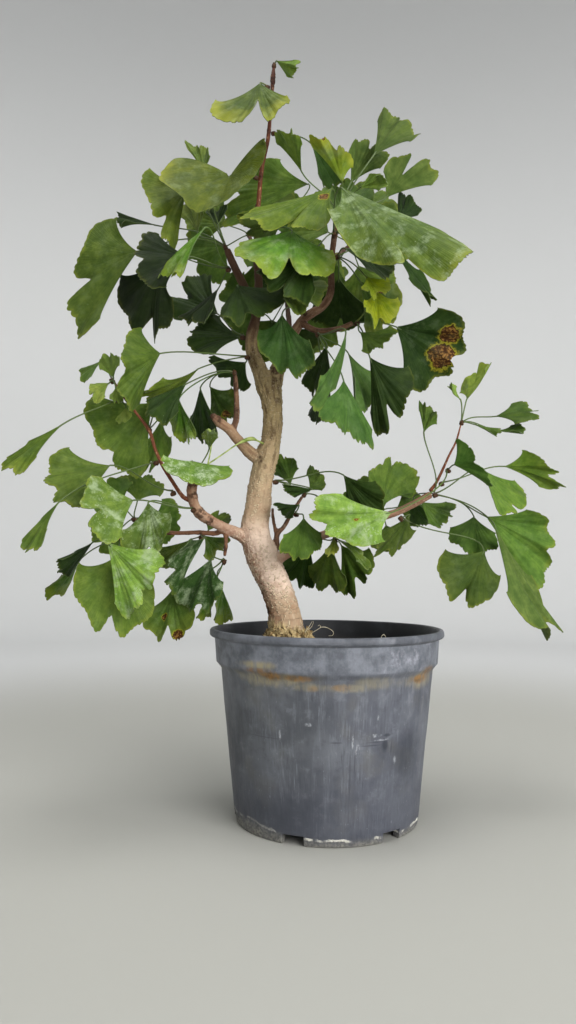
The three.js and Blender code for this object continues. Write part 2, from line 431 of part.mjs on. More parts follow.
// The segment of the wood that a place lies beside, the nearest point of its middle line, and the way out from there.
function woodBeside(place) {
  const gap = (segment) => distanceToSegment(place, segment) - segment.radius;
  const segment = woodSegments.reduce((best, one) => (gap(one) < gap(best) ? one : best));
  const foot = nearestOnSegment(place, segment);
  return { segment, foot, out: place.clone().sub(foot).normalize() };
}

// The middle of a spur's bud, seated on the wood.
const seats = {};
function seatOf(spur) {
  if (seats[spur]) return seats[spur];
  const { segment, foot, out } = woodBeside(at(SPURS[spur]));
  const sideways = out.clone().cross(segment.along.clone().normalize()).length();
  const share = segment.a.distanceTo(foot) / segment.along.length();
  const radius = THREE.MathUtils.lerp(segment.radii[0], segment.radii[1], share);
  seats[spur] = foot.clone().addScaledVector(out, 0.93 * radius * sideways + 1);
  return seats[spur];
}

// Points all over a leaf's blade and stalk, with the box round them.
function samplesOf(leaf) {
  const { stations, faces } = bladeMesh(leaf);
  const places = stations.map(([s, t]) => bladePoint(leaf, s, t));
  const blade = faces.flatMap((face) => {
    const [a, b, c] = face.map((k) => places[k]);
    const longest = Math.max(a.distanceTo(b), b.distanceTo(c), c.distanceTo(a));
    const parts = Math.ceil(longest / CLEAR.sample);
    const inside = [];
    for (let i = 0; i <= parts; i++)
      for (let j = 0; i + j <= parts; j++)
        inside.push(a.clone().multiplyScalar(1 - (i + j) / parts).addScaledVector(b, i / parts)
          .addScaledVector(c, j / parts));
    return inside;
  });
  const curve = petioleCurve(leaf);
  const parts = petioleParts(curve);
  const bends = curve.getSpacedPoints(parts);
  const stalk = bends.slice(1).flatMap((p, i) =>
    Array.from({ length: 8 }, (_, k) => bends[i].clone().lerp(p, k / 8)));
  const free = stalk.filter((p) => p.distanceTo(bends[0]) > CLEAR.spur);
  return { blade, stalk: free, box: new THREE.Box3().setFromPoints([...blade, ...free]).expandByScalar(CLEAR.blade) };
}

function closePairs(a, b, limit) {
  let found = 0;
  for (const p of a) for (const q of b) if (p.distanceToSquared(q) < limit * limit) found += 1;
  return found;
}

// How many sample points of a leaf are too close to the wood and to the leaves already placed.
function crowding(mine, placed, spur) {
  let found = 0;
  const buds = Object.keys(SPURS).filter((name) => name !== spur).map(seatOf).filter((seat) => mine.box.containsPoint(seat));
  for (const seat of buds)
    for (const p of [...mine.blade, ...mine.stalk]) if (p.distanceTo(seat) < CLEAR.bud) found += 1;
  for (const p of mine.blade)
    if (p.z < POT.height + 3 && Math.hypot(p.x, p.y) < POT.rimRadius + 3) found += 1;
  for (const segment of woodSegments) {
    if (!segment.box.intersectsBox(mine.box)) continue;
    for (const p of mine.blade) if (distanceToSegment(p, segment) < segment.radius + CLEAR.wood) found += 1;
    for (const p of mine.stalk) if (distanceToSegment(p, segment) < segment.radius + CLEAR.stalkWood) found += 1;
  }
  for (const other of placed) {
    if (!mine.box.intersectsBox(other.box)) continue;
    found += closePairs(mine.blade, other.blade, CLEAR.blade);
    found += closePairs(mine.blade, other.stalk, CLEAR.petiole);
    found += closePairs(mine.stalk, other.blade, CLEAR.petiole);
    found += closePairs(mine.stalk, other.stalk, CLEAR.stalks);
  }
  return found;
}

// Places every leaf at the nearest free depth.
function placeLeaves() {
  const rows = [...LEAVES, ...BACK_ROSETTES.flatMap(backRosette)];
  const placed = [];
  return rows.flatMap((row, index) => {
    let best = null;
    for (const size of CLEAR.sizes)
      for (let k = 0; k <= CLEAR.steps && (!best || best.found > 0); k++) {
        const shift = CLEAR.step * (k % 2 ? (k + 1) / 2 : -k / 2);
        const leaf = leafFrom(row, index, shift, size);
        const samples = samplesOf(leaf);
        const found = crowding(samples, placed, leaf.spur);
        if (!best || found < best.found) best = { leaf, samples, found, shift };
      }
    if (row[7]?.spare && best.found > 0) return [];
    placed.push(best.samples);
    best.leaf.found = best.found;
    best.leaf.shift = best.shift;
    return best.leaf;
  });
}

// ---------------------------------------------------------------- solids

// A closed geometry as a manifold solid, turned outwards.
function solidOf(geometry) {
  const bare = geometry.clone();
  bare.deleteAttribute("normal");
  bare.deleteAttribute("uv");
  const merged = mergeVertices(bare, 1e-3);
  const corners = new Uint32Array(merged.index.array);
  const make = () => new wasm.Manifold(
    new wasm.Mesh({ numProp: 3, vertProperties: merged.attributes.position.array, triVerts: corners }));
  const made = make();
  if (made.volume() > 0) return made;
  for (let i = 0; i < corners.length; i += 3) [corners[i + 1], corners[i + 2]] = [corners[i + 2], corners[i + 1]];
  return make();
}

function geometryOf(solid) {
  const { numProp, vertProperties, triVerts } = solid.getMesh();
  const count = vertProperties.length / numProp;
  const places = new Float32Array(count * 3);
  for (let i = 0; i < count; i++) places.set(vertProperties.subarray(i * numProp, i * numProp + 3), i * 3);
  return new THREE.BufferGeometry()
    .setAttribute("position", new THREE.BufferAttribute(places, 3))
    .setIndex(new THREE.BufferAttribute(triVerts, 1));
}

const joined = (solids) => solids.reduce((all, one) => all.add(one));

// Rings of points joined to a closed body, with a fan over each end.
function ringsToSolid(rings) {
  const sides = rings[0].length;
  const places = rings.flat();
  const corners = [];
  for (let r = 0; r + 1 < rings.length; r++)
    for (let i = 0; i < sides; i++) {
      const [a, b] = [r * sides + i, r * sides + ((i + 1) % sides)];
      corners.push(a, b, b + sides, a, b + sides, a + sides);
    }
  const last = (rings.length - 1) * sides;
  for (let i = 1; i + 1 < sides; i++) corners.push(0, i + 1, i, last, last + i, last + i + 1);
  const geometry = new THREE.BufferGeometry().setFromPoints(places);
  geometry.setIndex(corners);
  return solidOf(geometry);
}

// A tube of changing radius through points, its sections square to the path and never twisting.
function tube(points, radii, sides, phase = 0) {
  let side = new THREE.Vector3(0.31, 1, 0.17);
  const rings = points.map((p, i) => {
    const along = points[Math.min(i + 1, points.length - 1)].clone().sub(points[Math.max(i - 1, 0)]).normalize();
    side = side.clone().addScaledVector(along, -side.dot(along)).normalize();
    const up = along.clone().cross(side);
    return Array.from({ length: sides }, (_, k) => {
      const angle = (2 * Math.PI * k) / sides + phase;
      return p.clone().addScaledVector(side, radii[i] * Math.cos(angle)).addScaledVector(up, radii[i] * Math.sin(angle));
    });
  });
  return ringsToSolid(rings);
}

// One stem of the wood, made extra wider and longer.
function stemSolid(stem, extra) {
  const points = stem.map(at);
  const curve = new THREE.CatmullRomCurve3(points, false, "centripetal");
  const widest = Math.max(...stem.map((p) => p[3]));
  const sides = widest > 8.5 ? 10 : widest > 3.4 ? 6 : 4;
  const places = points.map((_, i) => curve.getPoint(i / (points.length - 1)));
  const last = places.length - 1;
  const outwards = places[last].clone().sub(places[last - 1]).normalize();
  places[last].addScaledVector(outwards, extra);
  return tube(places, stem.map((p) => p[3] + extra), sides);
}

const woodSolid = (name, extra) => joined(WOOD[name].map((stem) => stemSolid(stem, extra)));

// A leaf as one body: a square stalk that widens into the blade. Both faces of the blade have the same triangles.
function leafSolid(leaf) {
  const { stations, faces, edge } = bladeMesh(leaf);
  const normalAt = (s, t) => {
    const e = 0.03;
    const along = bladePoint(leaf, Math.min(s + e, 1), t).sub(bladePoint(leaf, s - e, t));
    const across = bladePoint(leaf, s, Math.min(t + e, 1)).sub(bladePoint(leaf, s, Math.max(t - e, -1)));
    return along.cross(across).normalize();
  };
  const face = (side) => stations.map(([s, t]) =>
    bladePoint(leaf, s, t).addScaledVector(normalAt(s, t), (side * LEAF.thick) / 2));
  const places = [...face(1), ...face(-1)];
  const under = stations.length;
  const corners = faces.flatMap(([a, b, c]) => [a, b, c, a + under, c + under, b + under]);
  edge.slice(1).forEach((b, i) => corners.push(edge[i], edge[i] + under, b + under, edge[i], b + under, b));

  const curve = petioleCurve(leaf);
  const path = curve.getSpacedPoints(petioleParts(curve)).slice(0, -1).reverse();
  let across = places[1].clone().sub(places[0]).normalize();
  let ring = [0, 1, 1 + under, under];
  path.forEach((p, i) => {
    const before = i ? path[i - 1] : leaf.origin;
    const after = path[Math.min(i + 1, path.length - 1)];
    const along = before.clone().sub(after).normalize();
    across = across.clone().addScaledVector(along, -across.dot(along)).normalize();
    const up = along.clone().cross(across);
    const first = places.length;
    for (const [x, y] of [[-1, 1], [1, 1], [1, -1], [-1, -1]])
      places.push(p.clone().addScaledVector(across, (x * LEAF.petioleWidth) / 2)
        .addScaledVector(up, (y * LEAF.petioleWidth) / 2));
    const next = [first, first + 1, first + 2, first + 3];
    for (let k = 0; k < 4; k++) {
      const [a, b, c, d] = [ring[k], ring[(k + 1) % 4], next[(k + 1) % 4], next[k]];
      corners.push(a, b, c, a, c, d);
    }
    ring = next;
  });
  corners.push(ring[0], ring[1], ring[2], ring[0], ring[2], ring[3]);
  const geometry = new THREE.BufferGeometry().setFromPoints(places);
  geometry.setIndex(corners);
  return solidOf(geometry);
}

// One rosette: a bud and its leaves, cut clear of the wood that carries it.
function rosetteSolid(spur, leaves, woodAround) {
  const bud = new THREE.OctahedronGeometry(LEAF.knobRadius, 0);
  const middle = seatOf(spur);
  bud.translate(middle.x, middle.y, middle.z);
  const whole = joined([solidOf(bud), ...leaves.map(leafSolid)]).subtract(woodAround);
  return joined(whole.decompose().filter((body) => body.volume() > 1)); // drops crumbs cut off beside the wood
}

function lathe(profile, sides) {
  const geometry = new THREE.LatheGeometry(profile.map(([x, y]) => new THREE.Vector2(x, y)), sides);
  geometry.rotateX(Math.PI / 2);
  return solidOf(geometry);
}

function potSolid() {
  const p = POT;
  const inner = (radius) => radius - p.wall;
  const wallAt = (z) => p.wallFootRadius + ((p.wallTopRadius - p.wallFootRadius) * z) / (p.collarFoot - 5);
  const floorTop = p.floor + p.floorThick;
  const profile = [
    [0, 0], [p.padRadius, 0], [p.padRadius + 3, p.floor], [p.wallFootRadius - p.footWidth - 1, p.floor],
    [p.wallFootRadius - p.footWidth, 0], [p.wallFootRadius, 0], [p.wallTopRadius, p.collarFoot - 5],
    [p.collarFootRadius, p.collarFoot], [p.collarRadius, p.height - 7], [p.rimRadius, p.height - 5.5],
    [p.rimRadius, p.height - 1], [p.rimRadius - 1, p.height], [p.rimRadius - 4.5, p.height],
    [inner(p.collarRadius), p.height - 4], [inner(p.collarFootRadius), p.collarFoot + 1],
    [inner(p.wallTopRadius), p.collarFoot - 4], [inner(wallAt(floorTop)), floorTop], [p.padRadius + 2, floorTop],
    [p.padRadius - 2, p.floorThick], [0, p.floorThick],
  ];
  let pot = lathe(profile, p.sides);
  for (let i = 0; i < NOTCH.count; i++) {
    const angle = THREE.MathUtils.degToRad(NOTCH.first + (360 / NOTCH.count) * i - 90);
    const cutter = new THREE.BoxGeometry(24, NOTCH.width, 2 * NOTCH.height);
    cutter.translate(p.wallFootRadius - 2, 0, 0);
    cutter.rotateZ(angle);
    pot = pot.subtract(solidOf(cutter));
  }
  for (let i = 0; i < DRAIN.count; i++) {
    const angle = THREE.MathUtils.degToRad(NOTCH.first + (360 / DRAIN.count) * (i + 0.5) - 90);
    const cutter = new THREE.CylinderGeometry(DRAIN.radius, DRAIN.radius, 20, 6);
    cutter.rotateX(Math.PI / 2);
    cutter.translate(DRAIN.circle * Math.cos(angle), DRAIN.circle * Math.sin(angle), p.floor);
    pot = pot.subtract(solidOf(cutter));
  }
  return pot;
}

// Soil with a low mound at the trunk, and a plain hole that the trunk's foot stands in.
function soilSolid() {
  const p = POT;
  const wallAt = (z) => p.wallFootRadius + ((p.wallTopRadius - p.wallFootRadius) * z) / (p.collarFoot - 5);
  const inside = p.wall + SOIL.gap + 0.2;
  const bottom = p.floor + p.floorThick + SOIL.gap;
  const profile = [
    [0, bottom], [wallAt(bottom) - inside - 0.4, bottom], [p.wallTopRadius - inside - 0.4, p.collarFoot - 5],
    [p.collarFootRadius - inside - 1, p.collarFoot + 2], [p.collarFootRadius - inside - 0.4, SOIL.edge],
    [0, SOIL.edge],
  ];
  const body = lathe(profile, SOIL.sides);
  const foot = at(WOOD.trunk[0][3]);
  const mound = new THREE.CylinderGeometry(16, SOIL.moundRadius, 2 * (SOIL.mound - SOIL.edge), 20);
  mound.rotateX(Math.PI / 2);
  mound.translate(foot.x, foot.y, SOIL.edge);
  return body.add(solidOf(mound)).subtract(stemSolid(WOOD.trunk[0], SEAT_GAP));
}

// ---------------------------------------------------------------- the object

const LOOK_COLOURS = {
  deep: 0x2f5222, mid: 0x4c7a2c, fresh: 0x6c9636, bright: 0x5f9a30, young: 0x87a85c, gold: 0x93a132, pale: 0x71915a,
  gloss: 0x6f9850, dusty: 0x6d9a45, dark_dusty: 0x33532f, cool: 0x4a7d45, lime: 0x96ad34, spotted: 0x54702a,
  blotched: 0x47692a,
};

const group = new THREE.Group();

function addNode(name, solid, colour, roughness) {
  const material = new THREE.MeshStandardMaterial({ color: colour, roughness, metalness: 0 });
  const mesh = new THREE.Mesh(geometryOf(solid), material);
  mesh.name = name;
  group.add(mesh);
}

addNode("pot", potSolid(), 0x5b5f69, 0.6);
addNode("soil", soilSolid(), 0x4a3a2c, 1);

const trunk = woodSolid("trunk", 0);
const trunkAround = woodSolid("trunk", SEAT_GAP);
addNode("trunk", trunk, 0xa08a72, 0.85);
const shoots = Object.keys(WOOD).filter((name) => name !== "trunk");
for (const name of shoots) addNode(name, woodSolid(name, 0).subtract(trunkAround), 0x7a4f3e, 0.7);
const woodAround = joined([trunkAround, ...shoots.map((name) => woodSolid(name, SEAT_GAP))]);

const leaves = placeLeaves();
for (const spur of Object.keys(SPURS)) {
  const mine = leaves.filter((leaf) => leaf.spur === spur);
  if (mine.length) addNode(`leaves_${spur}`, rosetteSolid(spur, mine, woodAround), LOOK_COLOURS[mine[0].look], 0.55);
}
group.userData.leaves = leaves;

export default group;
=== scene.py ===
"""A ginkgo grown as a small bonsai in a round plastic nursery pot: its fine surfaces and finishes.

Lengths in the layout tables are millimetres, as on the drawing board; meshes are in metres.
"""

import random
from math import acos, ceil, cos, degrees, hypot, pi, radians, sin, sqrt
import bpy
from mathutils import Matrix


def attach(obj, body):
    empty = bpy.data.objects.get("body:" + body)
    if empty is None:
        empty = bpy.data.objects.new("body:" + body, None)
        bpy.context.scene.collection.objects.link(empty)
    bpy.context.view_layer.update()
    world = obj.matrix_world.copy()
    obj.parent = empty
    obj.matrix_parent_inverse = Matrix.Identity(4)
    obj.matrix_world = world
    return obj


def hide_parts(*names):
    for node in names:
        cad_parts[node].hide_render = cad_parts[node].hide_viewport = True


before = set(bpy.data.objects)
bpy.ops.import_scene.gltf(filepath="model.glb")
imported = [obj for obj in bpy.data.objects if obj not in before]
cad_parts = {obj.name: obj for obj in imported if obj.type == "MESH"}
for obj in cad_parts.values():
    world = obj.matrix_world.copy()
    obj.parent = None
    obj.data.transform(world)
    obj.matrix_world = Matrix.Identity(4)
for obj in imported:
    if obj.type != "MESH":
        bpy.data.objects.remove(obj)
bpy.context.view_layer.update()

from types import SimpleNamespace as Sizes

import bpy
import numpy as np
from mathutils import Color, Matrix, Vector, noise as mathutils_noise
from mathutils.kdtree import KDTree

bl_info = {
    "name": "Ginkgo Bonsai",
    "version": (1, 0, 0),
    "blender": (4, 5, 0),
    "location": "3D View > Sidebar > Ginkgo",
    "description": "A potted ginkgo bonsai: pot, potting mix, wood, leaves and stage",
    "category": "Object",
}

MM = 0.001

# ---------------- layout

# The point at the front that wood and leaves are laid out from. A layout point [x, z, y] lies at depth y on the sight
# line that crosses the plane y = 0 at (x, z).
EYE = np.array([-32.0, -632.0, 200.0])

# Wood: each row is a stem of points [x, z, y, radius].
WOOD = {
    "trunk": [
        [[-33, 84, 0, 9], [-33, 110, 0, 12], [-33, 136, 0, 16.5], [-33, 148, 0, 14.6], [-35.5, 166, 0, 12.6],
         [-43, 186, 0, 12.8], [-52, 206, 0, 13.2], [-59, 228, 0, 11.8], [-57, 250, 0, 10.6], [-54, 274, 0, 9.9],
         [-50, 290, 0, 9.4], [-46.5, 305, 0, 8.2], [-45, 325, 0, 8.1], [-47, 345, 0, 9.4], [-49, 358, 0, 9.6]],
        [[-50, 346, 0, 8], [-57, 366, 2, 6.6], [-63, 380, 4, 5.7], [-63, 395, 4, 5.1], [-60, 410, 4, 4.3],
         [-58, 430, 5, 3.7], [-59, 460, 6, 3.2], [-60, 490, 6, 2.9], [-59, 508, 5, 2.7]],
        [[-46, 346, 0, 7.5], [-40, 370, 6, 6.2], [-32, 388, 10, 4.7], [-20, 408, 10, 4], [-2, 421, 8, 3.6],
         [3, 432, 6, 3], [3.5, 455, 6, 2.7], [6, 478, 4, 2.6], [9, 496, 2, 2.8]],
        [[-22, 405, 9, 3], [-8, 398, 2, 2.6], [10, 400, -2, 2.4], [22, 405, -4, 2.2]],
        [[-60, 412, 4, 3.8], [-68, 432, 0, 3.7], [-77, 450, -3, 3.5], [-85, 468, -5, 3.1]],
        [[-50, 287, 0, 6.5], [-62, 293, -3, 5.2], [-72, 303, -6, 4.4], [-82, 314, -9, 4], [-90, 320, -11, 3.9],
         [-96, 326, -12, 2.2]],
        [[-79, 312, -8, 2.8], [-75.5, 323, -7, 2.6], [-75.5, 336, -4, 2.4], [-76, 348, -4, 2.2], [-77, 360, -8, 1.9]],
        [[-60, 220, 0, 7.5], [-72, 226, -6, 5.2], [-85, 232, -12, 4.1], [-97, 238, -17, 3.8], [-105, 243, -20, 4.2],
         [-110, 252, -22, 3.9], [-112, 262, -23, 3.7], [-110, 271, -24, 3.5]],
        [[-86, 231, -12, 2.8], [-91, 227, -6, 2.3], [-105, 227.5, 0, 1.9], [-122, 227, 5, 1.7], [-145, 227, 6, 1.6],
         [-166, 224, 3, 1.5]],
        [[-84, 230, -11, 2], [-83, 218, -9, 1.6], [-84, 208, -8, 1.3]],
        [[-46, 203, 0, 7], [-36, 208.5, -5, 4.2], [-20, 218, -10, 3.6], [0, 227, -15, 3.4], [28, 236, -16, 3.2],
         [55, 244, -16, 3.1], [72, 252, -16, 3], [86, 260, -16, 3.1]],
        [[-46, 205, 2, 4], [-41.5, 216, 4, 2.8], [-41, 226, 6, 2.3], [-35, 233, 8, 1.9], [-29, 244, 10, 1.7],
         [-20, 258, 12, 1.4]],
        [[-41, 224, 6, 1.9], [-44, 238, 10, 1.5], [-45, 248, 14, 1.3]],
        [[-38, 376, 8, 4], [-32, 398, 36, 2.8], [-34, 424, 68, 2.2]],
        [[-59, 448, 6, 3], [-62, 466, 34, 2.4], [-66, 480, 60, 2]],
        [[3.7, 458, 6, 2.6], [12, 466, 26, 2], [19, 472, 44, 1.7]],
        [[-128, 227, 6, 1.7], [-145, 231, 28, 1.6], [-158, 238, 50, 1.5]],
        [[28, 236, -16, 2.6], [37, 240, 14, 2], [45, 246, 45, 1.6]],
    ],
    "shoot_leader": [
        [[-59.3, 500, 5, 2.5], [-56, 540, 2, 2.3], [-51, 565, 0, 2.1], [-49, 590, 0, 2], [-47.5, 612, 0, 1.9],
         [-47, 621, 0, 2.5], [-46.5, 630, 0, 1.5]],
    ],
    "shoot_left": [
        [[-113, 254, -22, 2.3], [-119, 257, -22, 2.1], [-127, 268, -21, 1.9], [-137, 284, -19, 1.9],
         [-143, 297, -17, 1.7], [-148, 312, -15, 1.8], [-160, 328, -14, 1.5], [-171, 342, -13, 1.5],
         [-178, 353, -12, 1.2]],
    ],
    "shoot_right": [
        [[86, 263, -16, 2], [91, 270, -15, 1.7], [96, 280, -14, 1.6], [102, 293, -13, 1.4], [108, 305, -12, 1.3],
         [112, 319, -11, 1.1]],
    ],
}

# Short spurs, where the leaf stalks of one rosette meet.
SPURS = {
    "apex": [-46.3, 632, 0], "leader_high": [-50.6, 613, -1.5], "leader_mid": [-46.5, 572, -1.5],
    "leader_low": [-59.5, 532, 1], "left_top": [-86, 470.5, -5.5], "left_top_low": [-82, 452, -6],
    "crown_tip": [9.5, 499, 1], "crown_front": [6, 483, 0], "crown_low": [8, 463, 3], "stem_high": [-58, 482, 2.5],
    "stem_high_back": [-60, 478, 10.2], "stem_low": [-61, 421, 0], "fork_bud": [-18, 413, 6],
    "twig_bud": [-8, 396, -1], "twig_end": [24.5, 405.5, -4.5], "stem_back": [-60, 416, 9.2],
    "left_stem": [-69.5, 393, 4], "left_stem_low": [-66, 376, -2], "left_mid": [-77.4, 363, -9],
    "left_cut": [-98.5, 328, -12.5], "left_tip": [-179.5, 355, -12], "left_bud_d": [-172.5, 340, -14],
    "left_bud_c": [-148.3, 314, -11.8], "left_bud_b": [-140, 287, -19.5], "left_bud_a": [-126, 262, -22.5],
    "left_fork": [-110, 248, -25.5], "left_stub": [-109.5, 274.5, -24.5], "low_twig_end": [-168.5, 223.5, 3],
    "low_twig_mid": [-103, 226.5, -2], "low_twig_down": [-84.3, 205.5, -8], "trunk_bud": [-43.5, 271, -2],
    "right_back_tip": [-18.8, 260, 12.5], "right_back_mid": [-27.5, 245, 9.5], "branch_bud_a": [6, 226.5, -15],
    "branch_bud_b": [38, 242.5, -14.5], "branch_bud_c": [60, 243.2, -17.5], "branch_end": [89, 260.5, -17],
    "right_bud_a": [92.5, 270, -15.5], "right_bud_b": [97.8, 282, -14.5], "right_tip": [112.5, 321, -11],
    "back_high": [-66.5, 482, 62.5], "back_mid": [-34.2, 426, 70.5], "back_crown": [19.5, 474, 46.5],
    "back_left": [-159.5, 239, 52], "back_right": [45.8, 247, 47.5],
}

